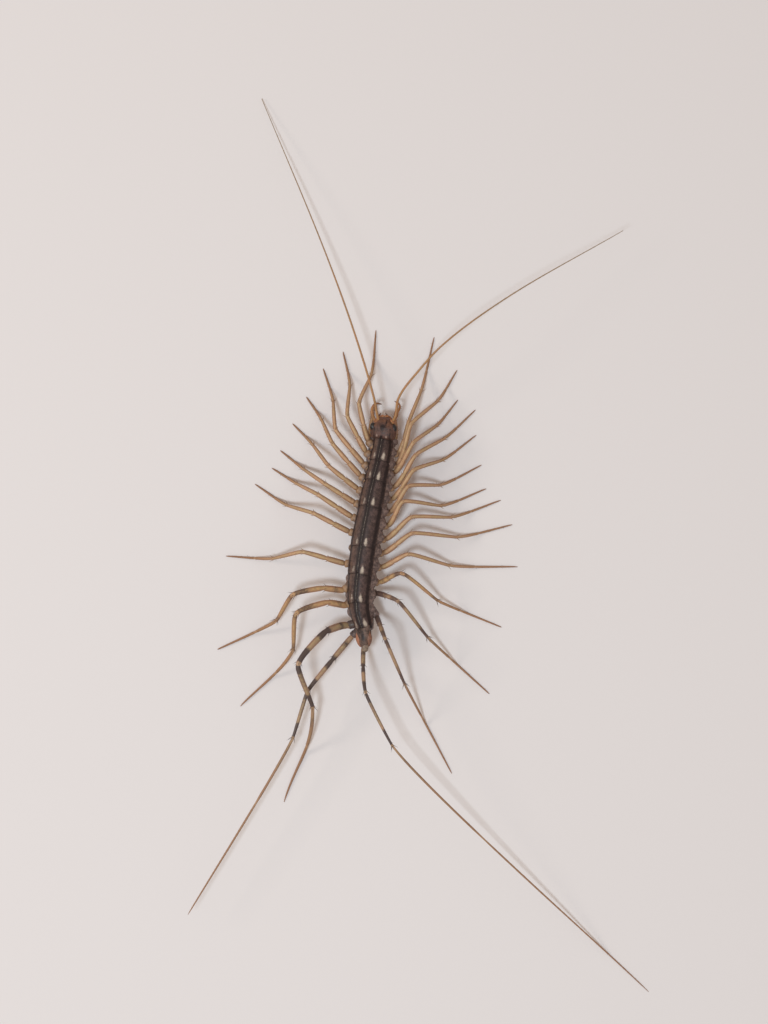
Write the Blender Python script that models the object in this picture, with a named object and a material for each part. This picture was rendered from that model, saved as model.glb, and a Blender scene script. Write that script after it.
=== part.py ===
"""House centipede, a still model at life size, standing on its own feet.

Sizes and places are in millimetres and become metres in add_node. Seen from
above, the head points along +Y and the animal's right side lies along +X. The
floor is Z = 0, and the origin lies on it under the middle of the whole span.
"""

import bmesh
import bpy
import numpy as np

METRES = 0.001
UP = np.array((0.0, 0.0, 1.0))
LEFT = -1
RIGHT = 1
SIDE_NAMES = {LEFT: "left", RIGHT: "right"}

# Clear space between two nodes that meet
GAP = 0.3

# Short step along a limb, in stations, to read which way it runs
STATION_STEP = 0.01

# Body line seen from above, from the brow to the end of the tail
SPINE = (
    (-4.3, 16.9),
    (-4.9, 12.4),
    (-6.2, 5.9),
    (-7.5, -2.1),
    (-7.9, -8.0),
    (-7.25, -11.2),
    (-7.15, -13.4),
)
BROW_Y = 16.9
HEAD_REAR_Y = 13.95
TRUNK_FRONT_Y = HEAD_REAR_Y - GAP
TRUNK_REAR_Y = -11.0
TAIL_FRONT_Y = TRUNK_REAR_Y - GAP
TAIL_END_Y = -13.4

# Trunk: half width over the back plates, height of the ridge and of the belly
WIDEST_Y = 0.7
HALF_WIDTH = 1.72
FRONT_NARROWING = 0.40
REAR_NARROWING = 0.56
TAPER_SPAN = 11.7
RIDGE_HEIGHT = 5.35
RIDGE_FALL = 0.62
BELLY_HEIGHT = 2.4
CORE_SHARE = 0.80
CORE_BELOW_RIDGE = 0.2

# Back plates: the rear margin of each, then their common shape
PLATE_REARS = (11.0, 8.4, 5.0, -0.2, -3.8, -7.5, -10.8)
PLATE_OVERLAP = 0.55
PLATE_THICKNESS = 0.34
PLATE_DROP = 1.0
PLATE_CURVE = 2.3
PLATE_LIFT = 0.22
PLATE_NOTCH = 0.30
PLATE_CORNER = 0.16

# Hips: where each leg leaves the trunk, growing further apart towards the tail
LEG_COUNT = 15
HIP_FIRST_Y = 13.6
HIP_STEP = 1.25
HIP_STEP_GROWTH = 0.035
HIP_ROOT_FOREMOST_Y = 13.0
HIP_REACH = 0.45
HIP_ROOT_SHARE = 0.45
HIP_HEIGHT = 3.2
HIP_ROOT_HEIGHT = 3.25
HIP_ADVANCE = {LEFT: 0.4, RIGHT: 0.0}
HIP_FAN = {LEFT: 0.14, RIGHT: 0.02}
FAN_MIDDLE = 7
OWN_HIPS = {
    (LEFT, 1): (-6.35, 13.7, 2.5),
    (RIGHT, 1): (-3.25, 13.75, 2.7),
    (RIGHT, 4): (-3.2, 9.5, 3.0),
    (LEFT, 12): (-9.85, -5.8, 3.2),
    (LEFT, 13): (-9.5, -7.8, 3.2),
    (RIGHT, 13): (-5.65, -6.0, 3.2),
    (LEFT, 14): (-9.2, -10.1, 3.2),
    (LEFT, 15): (-8.7, -11.8, 2.8),
    (RIGHT, 15): (-7.2, -13.0, 2.7),
}

# A leg's end pressed this far under the floor lies flat on it further back
FLAT = -1.5

# Pose of each leg: its knee, its ankle and its tip. Left leg 10 is lost
LEGS = {
    LEFT: {
        1: ((-6.4, 14.9, 1.5), (-6.1, 16.6, 0.8), (-5.7, 18.9, FLAT)),
        2: ((-7.8, 18.5, 3.8), (-6.2, 22.3, 1.2), (-5.6, 28.1, FLAT)),
        3: ((-9.3, 16.8, 4.6), (-9.0, 20.9, 1.3), (-9.9, 25.3, FLAT)),
        4: ((-10.8, 15.0, 4.6), (-11.2, 18.9, 1.3), (-12.5, 23.1, FLAT)),
        5: ((-11.2, 13.2, 4.5), (-12.7, 16.4, 1.3), (-14.7, 19.4, FLAT)),
        6: ((-11.7, 10.3, 4.5), (-13.9, 13.2, 1.3), (-16.5, 15.9, FLAT)),
        7: ((-12.2, 8.0, 4.5), (-15.1, 10.0, 1.3), (-18.1, 12.4, FLAT)),
        8: ((-13.1, 6.6, 4.5), (-16.0, 8.1, 1.3), (-19.2, 10.1, FLAT)),
        9: ((-13.7, 4.2, 4.5), (-17.3, 5.3, 1.3), (-21.4, 8.0, FLAT)),
        11: ((-15.1, -0.8, 4.7), (-19.1, -1.7, 1.5), (-25.2, -1.4, FLAT)),
        12: ((-16.4, -6.4, 5.2), (-18.6, -9.8, 2.2), (-26.3, -13.6, -2.0)),
        13: ((-15.9, -8.8, 6.2), (-16.4, -13.6, 3.0), (-23.3, -21.0, -3.0)),
        14: ((-15.6, -15.3, 8.2), (-13.8, -21.0, 4.6), (-17.6, -33.5, -4.5)),
        15: ((-14.4, -18.8, 4.4), (-16.4, -25.0, 4.3), (-30.0, -47.9, 3.8)),
    },
    RIGHT: {
        1: ((-3.0, 14.9, 1.5), (-3.1, 16.6, 0.8), (-2.7, 18.9, FLAT)),
        2: ((-1.3, 16.2, 3.6), (0.3, 20.2, 1.3), (2.0, 27.2, FLAT)),
        3: ((-1.0, 15.8, 4.9), (2.5, 18.9, 1.5), (5.0, 22.9, FLAT)),
        4: ((-0.7, 13.4, 5.4), (2.4, 15.7, 1.4), (5.1, 19.0, FLAT)),
        5: ((-0.4, 11.8, 4.8), (3.4, 14.0, 1.3), (7.4, 17.7, FLAT)),
        6: ((-0.7, 9.8, 5.0), (3.2, 11.2, 1.3), (7.5, 14.4, FLAT)),
        7: ((-1.4, 7.7, 5.0), (2.9, 7.9, 1.3), (8.2, 10.5, FLAT)),
        8: ((-2.1, 5.7, 5.0), (3.0, 5.2, 1.3), (8.8, 7.4, FLAT)),
        9: ((-1.0, 3.7, 4.5), (4.3, 3.7, 1.4), (10.7, 5.9, FLAT)),
        10: ((-0.9, 1.6, 4.5), (5.1, 1.1, 1.4), (12.2, 2.7, FLAT)),
        11: ((-1.4, -1.1, 4.7), (4.0, -2.6, 1.5), (12.9, -2.8, FLAT)),
        12: ((-2.2, -3.6, 5.2), (2.5, -7.2, 2.2), (10.8, -10.7, -2.0)),
        13: ((-2.7, -7.2, 6.2), (1.2, -12.0, 3.0), (9.2, -19.4, -3.0)),
        14: ((-4.4, -12.0, 8.0), (-1.8, -18.1, 3.9), (4.3, -29.8, -4.5)),
        15: ((-6.9, -19.0, 7.4), (-3.4, -25.9, 7.2), (30.0, -58.3, -1.2)),
    },
}
LOST_LEG = (LEFT, 10)

# Thickness along a leg, by station: 0 in the trunk, 1 hip, 2 knee, 3 ankle, 4 tip
RADIUS_STATIONS = (0.0, 1.0, 1.2, 1.5, 1.85, 2.0, 2.2, 2.85, 3.0, 3.15, 3.75, 4.0)
RADII = (0.46, 0.40, 0.41, 0.36, 0.31, 0.36, 0.31, 0.27, 0.30, 0.25, 0.25, 0.08)
LEAST_RADIUS = 0.25
TIP_STATION = 3.75
FRONT_LEG_SLIMNESS = 0.78
FULL_SIZE_LEG = 8
COXA_STATIONS = (0.0, 0.5, 1.0)
THIGH_SHARES = np.array((0.0, 0.15, 0.5, 0.85, 1.0))
SHIN_SHARES = np.array((0.15, 0.5, 0.85, 1.0))
FOOT_SHARES = np.array((0.12, 0.35, 0.55, 0.75, 0.9, 1.0))
STUMP_LENGTH = 0.5

# How freely a limb curves between its joints
SUPPLE = 1.0
STIFF = 0.45
FIRST_STIFF_LEG = 12
BOWED_THIGHS = (12, 13, 14)
BOWED_FEET = {(LEFT, 13): 0.9, (LEFT, 14): 1.25}
LEG_SIDES = 8

# Spurs by the knees and ankles (stations 2 and 3), each at its turn round the limb
SPUR_TURNS = {2: (0.16, 0.36), 3: (0.02, 0.48)}
SPUR_SETBACK = 0.95
SPUR_LENGTH = 1.0
SHORT_SPUR_LENGTH = 0.65
SPUR_RADIUS = 0.14
SPUR_TIP_RADIUS = 0.03
SPUR_SPREAD = 0.62
SPUR_VARIATION = 0.15
SPUR_SIDES = 4
FIRST_SPURRED_LEG = 2
SEED = 29

# Feelers, from inside the head out to the tip
FEELERS = {
    LEFT: (
        (-5.1, 15.8, 4.1),
        (-5.4, 16.8, 4.4),
        (-5.8, 18.9, 4.9),
        (-7.9, 26.1, 5.3),
        (-11.8, 37.1, 3.8),
        (-20.5, 58.3, 0.3),
    ),
    RIGHT: (
        (-3.7, 15.7, 4.1),
        (-3.1, 16.7, 4.4),
        (-2.7, 19.0, 5.3),
        (0.1, 22.8, 7.0),
        (2.8, 25.7, 8.0),
        (10.5, 31.5, 7.0),
        (26.5, 40.9, 3.7),
    ),
}
FEELER_ROOT_RADIUS = 0.32
FEELER_RINGS = 22
FEELER_TIP_SHARE = 0.1
FINE_TIP_RADIUS = 0.08

# Mouth feelers, from inside the head forward and inwards
PALPS = {
    LEFT: ((-5.2, 15.2, 3.2), (-5.75, 16.3, 2.7), (-6.15, 17.5, 3.0), (-5.7, 18.4, 2.6), (-4.8, 18.4, 2.1)),
    RIGHT: ((-3.7, 15.2, 3.2), (-3.2, 16.3, 2.7), (-2.8, 17.3, 3.0), (-2.5, 18.2, 2.6), (-3.2, 18.8, 2.1)),
}
PALP_RADIUS = 0.26

# Venom claws, from under the first segment forward below the head
CLAWS = {
    LEFT: ((-5.4, 13.0, 3.1), (-5.5, 13.8, 2.2), (-5.7, 15.2, 2.0), (-5.35, 16.6, 1.9), (-4.95, 17.3, 1.9)),
    RIGHT: ((-4.3, 13.0, 3.1), (-4.2, 13.8, 2.2), (-3.75, 15.2, 2.0), (-3.95, 16.6, 1.9), (-4.4, 17.3, 1.9)),
}
CLAW_RADIUS = 0.30

# Head: half width, top and underside at shares of its length from rear to brow
HEAD_SHARES = (0.0, 0.12, 0.32, 0.5, 0.62, 0.74, 0.86, 0.94, 0.99)
HEAD_HALF_WIDTHS = (1.12, 1.40, 1.60, 1.60, 1.40, 1.02, 0.84, 0.68, 0.38)
HEAD_TOPS = (4.75, 4.95, 5.08, 5.10, 5.02, 4.88, 4.70, 4.48, 4.22)
HEAD_UNDERS = (3.05, 2.92, 2.85, 2.85, 2.90, 2.98, 3.10, 3.28, 3.50)
HEAD_SIDES = 16
EYE_PLACES = {LEFT: (-6.02, 15.45, 4.25), RIGHT: (-3.32, 15.15, 4.25)}
EYE_RADII = (0.42, 0.50, 0.46)
EYE_CLEARANCE = 0.25
EYE_SIDES = 12

# Jaws and upper lip, as places off the head's middle line and their radii
JAW_PLACE = (0.46, 16.25, 3.05)
JAW_RADII = (0.42, 0.62, 0.34)
LIP_PLACE = (0.0, 16.72, 3.62)
LIP_RADII = (0.52, 0.34, 0.26)

# Tail: half width, top and underside at shares of its length
TAIL_SHARES = (0.0, 0.3, 0.6, 0.85, 1.0)
TAIL_HALF_WIDTHS = (1.18, 1.14, 1.00, 0.80, 0.50)
TAIL_TOPS = (4.95, 4.98, 4.85, 4.62, 4.40)
TAIL_UNDERS = (3.85, 3.90, 3.98, 4.06, 4.12)
TAIL_SIDES = 14

BOXINESS = 2.5
CORE_SIDES = 16
CORE_RINGS = 15
PLATE_ACROSS = 8
PLATE_ALONG = 5

# Colour, roughness and metallic value of each finish
FINISHES = {
    "shell_brown": ((0.085, 0.058, 0.050, 1.0), 0.42, 0.0),
    "eye_black": ((0.012, 0.009, 0.008, 1.0), 0.18, 0.0),
    "leg_straw": ((0.42, 0.27, 0.12, 1.0), 0.48, 0.0),
    "feeler_amber": ((0.36, 0.18, 0.07, 1.0), 0.50, 0.0),
    "tail_russet": ((0.20, 0.075, 0.045, 1.0), 0.45, 0.0),
}


def clear_scene():
    for old in list(bpy.data.objects):
        bpy.data.objects.remove(old, do_unlink=True)


def unit(rows):
    rows = np.asarray(rows, dtype=float)
    return rows / np.linalg.norm(rows, axis=-1, keepdims=True)


def through(points, gives=SUPPLE):
    """A smooth curve through points, read at station 0 for the first, 1 for the next and so on.

    Each stretch is a cubic between two points, which leaves a point along the
    mean of the directions on its two sides. A small give keeps a stretch straight.
    """
    points = np.asarray(points, dtype=float)
    steps = np.diff(points, axis=0)
    lengths = np.linalg.norm(steps, axis=1)
    ways = unit(steps)
    leaves = np.vstack((ways[:1], unit(ways[:-1] + ways[1:]), ways[-1:]))
    gives = np.broadcast_to(gives, lengths.shape)

    def place(stations):
        stations = np.asarray(stations, dtype=float)
        index = np.clip(stations.astype(int), 0, len(steps) - 1)
        t = (stations - index)[..., None]
        reach = (gives * lengths)[index][..., None]
        start = points[index] * (2 * t**3 - 3 * t**2 + 1)
        start = start + leaves[index] * reach * (t**3 - 2 * t**2 + t)
        end = points[index + 1] * (3 * t**2 - 2 * t**3)
        end = end + leaves[index + 1] * reach * (t**3 - t**2)
        return start + end

    return place


SPINE_LINE = through(SPINE)(np.linspace(0, len(SPINE) - 1, 120))[::-1]


def spine_x(y):
    return np.interp(y, SPINE_LINE[:, 1], SPINE_LINE[:, 0])


def spine_across(y):
    """The level direction square to the body line at y."""
    slope = (spine_x(y + 0.2) - spine_x(y - 0.2)) / 0.4
    return unit(np.stack((np.ones_like(slope), -slope, np.zeros_like(slope)), axis=-1))


def half_width(y):
    narrowing = np.where(y > WIDEST_Y, FRONT_NARROWING, REAR_NARROWING)
    return HALF_WIDTH - narrowing * ((y - WIDEST_Y) / TAPER_SPAN) ** 2


def off_spine(place, side):
    """A place given by its distance from the body line, its y and its height."""
    out, y, height = place
    return np.array((spine_x(y) + side * out, y, height))


def ridge(y):
    return RIDGE_HEIGHT - RIDGE_FALL * ((y - WIDEST_Y) / TAPER_SPAN) ** 2


def closed_rings(rings):
    """Points and faces of a skin over rings of equal count, with a face at each end."""
    count, sides, _ = rings.shape
    index = np.arange(count * sides).reshape(count, sides)
    near, far = index[:-1], index[1:]
    quads = np.stack((near, np.roll(near, -1, 1), np.roll(far, -1, 1), far), axis=-1)
    faces = quads.reshape(-1, 4).tolist()
    faces.append(index[0][::-1].tolist())
    faces.append(index[-1].tolist())
    return rings.reshape(-1, 3), faces


def square_to(along):
    """The level direction and the lifted one that stand square to a path."""
    level = unit(np.cross(along, UP))
    return level, np.cross(level, along)


def tube(path, along, radii, sides=LEG_SIDES):
    """A round closed tube along a path, each ring with one flat side turned down."""
    level, lift = square_to(along)
    turns = (np.arange(sides) + 0.5) * 2 * np.pi / sides
    ring = np.cos(turns)[None, :, None] * level[:, None] + np.sin(turns)[None, :, None] * lift[:, None]
    return closed_rings(path[:, None] + np.asarray(radii)[:, None, None] * ring)


def boxy_rings(ys, half_widths, tops, unders, sides):
    """Rounded box rings across the body line, from their half widths, tops and undersides."""
    ys, half_widths, tops, unders = (np.asarray(row, dtype=float) for row in (ys, half_widths, tops, unders))
    turns = (np.arange(sides) + 0.5) * 2 * np.pi / sides
    out = np.sign(np.cos(turns)) * np.abs(np.cos(turns)) ** (2 / BOXINESS)
    rise = np.sign(np.sin(turns)) * np.abs(np.sin(turns)) ** (2 / BOXINESS)
    centres = np.stack((spine_x(ys), ys, (tops + unders) / 2), axis=-1)
    across = spine_across(ys) * half_widths[:, None]
    up = UP[None, :] * ((tops - unders) / 2)[:, None]
    return centres[:, None] + out[None, :, None] * across[:, None] + rise[None, :, None] * up[:, None]


def plate(front_y, rear_y):
    """One back plate: a bent slab, lifted and notched at its rear margin, with round corners."""
    across = np.linspace(-1, 1, PLATE_ACROSS + 1)[None, :]
    back = np.linspace(0, 1, PLATE_ALONG + 1)[:, None] ** 0.8
    notch = PLATE_NOTCH * (1 - across**2) ** 2 - PLATE_CORNER * 2 * across**6
    ys = front_y + (rear_y - front_y) * back + np.where(back > 0.5, (back - 0.5) * 2, 0) * notch * 0.6
    corner = 1 - PLATE_CORNER * (2 * back - 1) ** 6
    out = across * half_width(ys) * corner
    drop = PLATE_DROP * np.abs(across) ** PLATE_CURVE
    tops = ridge(ys) - drop + PLATE_LIFT * (back - 0.5)
    centres = np.stack((spine_x(ys), ys, tops), axis=-1)
    upper = centres + spine_across(ys) * out[..., None]
    lower = upper - UP * PLATE_THICKNESS
    return slab(upper, lower)


def slab(upper, lower):
    """Closed skin over two matching grids, split into triangles alike on both."""
    rows, columns, _ = upper.shape
    index = np.arange(rows * columns).reshape(rows, columns)
    a, b, c, d = index[:-1, :-1], index[:-1, 1:], index[1:, 1:], index[1:, :-1]
    top = np.concatenate((np.stack((a, b, c), -1).reshape(-1, 3), np.stack((a, c, d), -1).reshape(-1, 3)))
    under = top[:, ::-1] + rows * columns
    edge = np.concatenate((index[0, :], index[1:, -1], index[-1, -2::-1], index[-2:0:-1, 0]))
    after = np.roll(edge, -1)
    rim = np.concatenate((
        np.stack((after, edge, edge + rows * columns), -1),
        np.stack((after, edge + rows * columns, after + rows * columns), -1),
    ))
    points = np.concatenate((upper.reshape(-1, 3), lower.reshape(-1, 3)))
    return points, np.concatenate((top, under, rim)).tolist()


def ball(centre, radii, sides=EYE_SIDES):
    """A closed egg shape from rings of latitude."""
    tilt = np.linspace(0, np.pi, sides // 2 + 2)[1:-1]
    turns = np.arange(sides) * 2 * np.pi / sides
    rings = np.stack((
        np.sin(tilt)[:, None] * np.cos(turns)[None, :],
        np.sin(tilt)[:, None] * np.sin(turns)[None, :],
        np.repeat(np.cos(tilt)[:, None], sides, axis=1),
    ), axis=-1)
    return closed_rings(np.asarray(centre) + rings * np.asarray(radii))


def finish(name):
    found = bpy.data.materials.get(name)
    if found:
        return found
    colour, roughness, metallic = FINISHES[name]
    made = bpy.data.materials.new(name)
    made.use_nodes = True
    shader = made.node_tree.nodes["Principled BSDF"]
    shader.inputs["Base Color"].default_value = colour
    shader.inputs["Roughness"].default_value = roughness
    shader.inputs["Metallic"].default_value = metallic
    made.diffuse_color = colour
    return made


def add_mesh(name, shape, origin):
    """An object in metres, placed at its origin, with all its faces pointing out."""
    points, faces = shape
    mesh = bpy.data.meshes.new(name)
    mesh.from_pydata((np.asarray(points) - origin) * METRES, [], faces)
    work = bmesh.new()
    work.from_mesh(mesh)
    bmesh.ops.recalc_face_normals(work, faces=work.faces)
    work.to_mesh(mesh)
    work.free()
    made = bpy.data.objects.new(name, mesh)
    made.location = np.asarray(origin) * METRES
    bpy.context.scene.collection.objects.link(made)
    return made


def combine(target, shapes, operation):
    """Joins closed shapes to a node, or cuts them from it, in one Boolean that is applied."""
    helpers = bpy.data.collections.new("helpers")
    bpy.context.scene.collection.children.link(helpers)
    for shape in shapes:
        helper = add_mesh("helper", shape, np.zeros(3))
        bpy.context.scene.collection.objects.unlink(helper)
        helpers.objects.link(helper)
    step = target.modifiers.new("combine", "BOOLEAN")
    step.operation = operation
    step.solver = "EXACT"
    step.operand_type = "COLLECTION"
    step.collection = helpers
    bpy.context.view_layer.update()
    graph = bpy.context.evaluated_depsgraph_get()
    joined = bpy.data.meshes.new_from_object(target.evaluated_get(graph))
    target.modifiers.remove(step)
    target.data = joined
    for helper in list(helpers.objects):
        bpy.data.objects.remove(helper, do_unlink=True)
    bpy.data.collections.remove(helpers)
    keep_largest(joined)


def keep_largest(mesh):
    """Drops every loose scrap and sealed hollow beside the largest closed surface."""
    work = bmesh.new()
    work.from_mesh(mesh)
    waiting = set(work.verts)
    shells = []
    while waiting:
        edge = [waiting.pop()]
        shell = set(edge)
        while edge:
            vertex = edge.pop()
            fresh = {link.other_vert(vertex) for link in vertex.link_edges} - shell
            shell |= fresh
            edge.extend(fresh)
        waiting -= shell
        shells.append(shell)
    shells.sort(key=len)
    for scrap in shells[:-1]:
        bmesh.ops.delete(work, geom=list(scrap), context="VERTS")
    work.to_mesh(mesh)
    work.free()


def add_node(name, shape, origin, look, parent):
    made = add_mesh(name, shape, np.asarray(origin, dtype=float))
    made.data.materials.append(finish(look))
    made.parent = parent
    return made


def smooth_shade(node):
    node.data.shade_smooth()
    node.data.set_sharp_from_angle(angle=0.7)


def limb(curve, stations, radii, sides=LEG_SIDES):
    """A stretch of a limb's curve as a tube whose underside never passes the floor."""
    lowest = np.asarray(radii) * np.cos(np.pi / sides)

    def on_floor(places):
        path = curve(places)
        path[:, 2] = np.maximum(path[:, 2], lowest)
        return path

    near = np.maximum(stations - STATION_STEP, stations[0])
    far = np.minimum(stations + STATION_STEP, stations[-1])
    return tube(on_floor(stations), unit(on_floor(far) - on_floor(near)), radii, sides)


def station_after_gap(curve, station, radius):
    """The station whose ring clears the one at the given station by a gap, on a bend too."""
    ahead = np.linspace(station, station + 0.6, 120)
    travelled = np.linalg.norm(curve(ahead) - curve(station), axis=1)
    ways = unit(curve(ahead + STATION_STEP) - curve(ahead))
    turned = np.arccos(np.clip(ways @ ways[0], -1, 1))
    clear = travelled - radius * turned >= GAP
    return float(ahead[np.argmax(clear)])


def hip_y(number):
    past = number - 1
    return HIP_FIRST_Y - HIP_STEP * past - HIP_STEP_GROWTH * past**2


def hip_places(side, number):
    """Where a leg is rooted in the trunk, and the hip where it leaves it."""
    y = min(hip_y(number), HIP_ROOT_FOREMOST_Y)
    root = np.array((spine_x(y), y, HIP_ROOT_HEIGHT))
    root = root + side * HIP_ROOT_SHARE * half_width(y) * spine_across(y)
    if (side, number) in OWN_HIPS:
        return root, np.array(OWN_HIPS[side, number])
    fanned = hip_y(number) + HIP_ADVANCE[side] + HIP_FAN[side] * (FAN_MIDDLE - number)
    hip = np.array((spine_x(fanned), fanned, HIP_HEIGHT))
    return root, hip + side * (half_width(y) + HIP_REACH) * spine_across(fanned)


def leg_curve(side, number):
    give = STIFF if number >= FIRST_STIFF_LEG else SUPPLE
    thigh_give = SUPPLE if side == RIGHT or number in BOWED_THIGHS else STIFF
    foot_give = BOWED_FEET.get((side, number), give)
    points = (*hip_places(side, number), *LEGS[side][number])
    return through(points, (SUPPLE, thigh_give, give, foot_give))


def leg_radii(stations, number):
    slimness = FRONT_LEG_SLIMNESS + (1 - FRONT_LEG_SLIMNESS) * min(1, number / FULL_SIZE_LEG)
    radii = np.interp(stations, RADIUS_STATIONS, RADII)
    tip = np.asarray(stations) > TIP_STATION
    return np.where(tip, radii, np.maximum(radii * slimness, LEAST_RADIUS))


def coxa(side, number):
    """The stub of a leg that is part of the trunk, out to the hip."""
    if (side, number) == LOST_LEG:
        root, hip = hip_places(side, number)
        away = unit(hip - root)
        curve = through((root, hip, hip + away * STUMP_LENGTH))
        stations = np.array((0.0, 0.5, 1.0, 1.7, 2.0))
        radii = np.array((RADII[0], RADII[0], RADII[1], RADII[1] * 0.9, RADII[1] * 0.5))
        return limb(curve, stations, radii)
    stations = np.array(COXA_STATIONS)
    return limb(leg_curve(side, number), stations, leg_radii(stations, number))


def spurs(curve, number, first, last, chance):
    """The spurs between two stations of a leg: thin spikes that lean towards its tip."""
    shapes = []
    length = SPUR_LENGTH if number >= FIRST_STIFF_LEG else SHORT_SPUR_LENGTH
    for joint, turns in SPUR_TURNS.items():
        if not first < joint <= last or number < FIRST_SPURRED_LEG:
            continue
        stretch = np.linalg.norm(curve(joint) - curve(joint - 1))
        station = joint - SPUR_SETBACK / stretch
        here = curve(np.array((station,)))[0]
        along = unit(curve(np.array((station + STATION_STEP,)))[0] - here)
        level, lift = square_to(along)
        for turn in turns:
            vary = 1 + SPUR_VARIATION * chance.uniform(-1, 1, 2)
            angle = 2 * np.pi * turn * vary[0]
            away = np.cos(angle) * level + np.sin(angle) * lift
            way = unit(along + SPUR_SPREAD * away)
            path = here + np.outer((0.0, length * vary[1]), way)
            radii = np.array((SPUR_RADIUS, SPUR_TIP_RADIUS))
            shapes.append(tube(path, np.stack((way, way)), radii, SPUR_SIDES))
    return shapes


def add_leg(side, number, parent, chance):
    """One leg in its own node, or in two that meet at the knee where it is long."""
    curve = leg_curve(side, number)
    name = f"leg_{number:02d}_{SIDE_NAMES[side]}"
    start = station_after_gap(curve, 1.0, RADII[1])
    thigh = start + (2 - start) * THIGH_SHARES
    foot = 3 + FOOT_SHARES
    if number < FIRST_STIFF_LEG:
        names = [name]
        lengths = [np.concatenate((thigh, 2 + SHIN_SHARES, foot))]
    else:
        below = station_after_gap(curve, 2.0, RADII[5])
        shin = below + (3 - below) * SHIN_SHARES
        names = [name + "_thigh", name + "_shin"]
        lengths = [thigh, np.concatenate(((below,), shin, foot))]
    for node_name, stations in zip(names, lengths):
        shape = limb(curve, stations, leg_radii(stations, number))
        node = add_node(node_name, shape, curve(stations[0]), "leg_straw", parent)
        spikes = spurs(curve, number, stations[0], stations[-1], chance)
        if spikes:
            combine(node, spikes, "UNION")
        smooth_shade(node)


def add_trunk(parent):
    ys = np.linspace(TRUNK_FRONT_Y, TRUNK_REAR_Y, CORE_RINGS)
    tops = ridge(ys) - CORE_BELOW_RIDGE
    rings = boxy_rings(ys, half_width(ys) * CORE_SHARE, tops, np.full_like(ys, BELLY_HEIGHT), CORE_SIDES)
    origin = (spine_x(WIDEST_Y), WIDEST_Y, BELLY_HEIGHT)
    trunk = add_node("trunk", closed_rings(rings), origin, "shell_brown", parent)
    fronts = (TRUNK_FRONT_Y, *(rear + PLATE_OVERLAP for rear in PLATE_REARS[:-1]))
    pieces = [plate(front, rear) for front, rear in zip(fronts, PLATE_REARS)]
    for side in (LEFT, RIGHT):
        pieces.extend(coxa(side, number) for number in range(1, LEG_COUNT + 1))
        pieces.append(claw_length(side, np.array((0.0, 0.5, 1.0))))
    combine(trunk, pieces, "UNION")
    smooth_shade(trunk)


def feeler_length(side, stations):
    curve = through(FEELERS[side])
    last = len(FEELERS[side]) - 1
    share = np.asarray(stations) / last
    radii = np.interp(
        share,
        (0, 0.25, 1 - FEELER_TIP_SHARE, 1),
        (FEELER_ROOT_RADIUS, LEAST_RADIUS, LEAST_RADIUS, FINE_TIP_RADIUS),
    )
    return limb(curve, stations, radii)


def palp_length(side, stations):
    radii = np.interp(stations, (0, 3, 4), (PALP_RADIUS, LEAST_RADIUS, FINE_TIP_RADIUS))
    return limb(through(PALPS[side]), stations, radii)


def claw_length(side, stations):
    radii = np.interp(stations, (0, 2.5, 4), (CLAW_RADIUS, CLAW_RADIUS, FINE_TIP_RADIUS))
    return limb(through(CLAWS[side]), stations, radii)


def add_head(parent):
    ys = HEAD_REAR_Y + (BROW_Y - HEAD_REAR_Y) * np.array(HEAD_SHARES)
    rings = boxy_rings(ys, HEAD_HALF_WIDTHS, HEAD_TOPS, HEAD_UNDERS, HEAD_SIDES)
    origin = (spine_x(HEAD_REAR_Y), HEAD_REAR_Y, HEAD_UNDERS[0])
    head = add_node("head", closed_rings(rings), origin, "shell_brown", parent)
    stubs = []
    stub_stations = np.array((0.0, 0.5, 1.0))
    for side in (LEFT, RIGHT):
        stubs.append(feeler_length(side, stub_stations))
        stubs.append(palp_length(side, stub_stations))
        stubs.append(ball(off_spine(JAW_PLACE, side), JAW_RADII))
    stubs.append(ball(off_spine(LIP_PLACE, RIGHT), LIP_RADII))
    combine(head, stubs, "UNION")
    sockets = [ball(EYE_PLACES[side], np.array(EYE_RADII) + EYE_CLEARANCE) for side in (LEFT, RIGHT)]
    combine(head, sockets, "DIFFERENCE")
    smooth_shade(head)


def add_head_pieces(parent):
    for side, side_name in SIDE_NAMES.items():
        eye = add_node("eye_" + side_name, ball(EYE_PLACES[side], EYE_RADII), EYE_PLACES[side], "eye_black", parent)
        smooth_shade(eye)
        curve = through(FEELERS[side])
        start = station_after_gap(curve, 1.0, FEELER_ROOT_RADIUS)
        stations = start + (len(FEELERS[side]) - 1 - start) * np.linspace(0, 1, FEELER_RINGS)
        shape = feeler_length(side, stations)
        smooth_shade(add_node("feeler_" + side_name, shape, curve(start), "feeler_amber", parent))
        curve = through(PALPS[side])
        start = station_after_gap(curve, 1.0, PALP_RADIUS)
        shape = palp_length(side, np.array((start, 1.5, 2.0, 2.5, 3.0, 3.5, 4.0)))
        smooth_shade(add_node("palp_" + side_name, shape, curve(start), "feeler_amber", parent))
        curve = through(CLAWS[side])
        start = station_after_gap(curve, 1.0, CLAW_RADIUS)
        shape = claw_length(side, np.array((start, 1.5, 2.0, 2.5, 3.0, 3.5, 4.0)))
        smooth_shade(add_node("venom_claw_" + side_name, shape, curve(start), "leg_straw", parent))


def add_tail(parent):
    ys = TAIL_FRONT_Y + (TAIL_END_Y - TAIL_FRONT_Y) * np.array(TAIL_SHARES)
    rings = boxy_rings(ys, TAIL_HALF_WIDTHS, TAIL_TOPS, TAIL_UNDERS, TAIL_SIDES)
    origin = (spine_x(TAIL_FRONT_Y), TAIL_FRONT_Y, TAIL_UNDERS[0])
    smooth_shade(add_node("tail", closed_rings(rings), origin, "tail_russet", parent))


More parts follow.
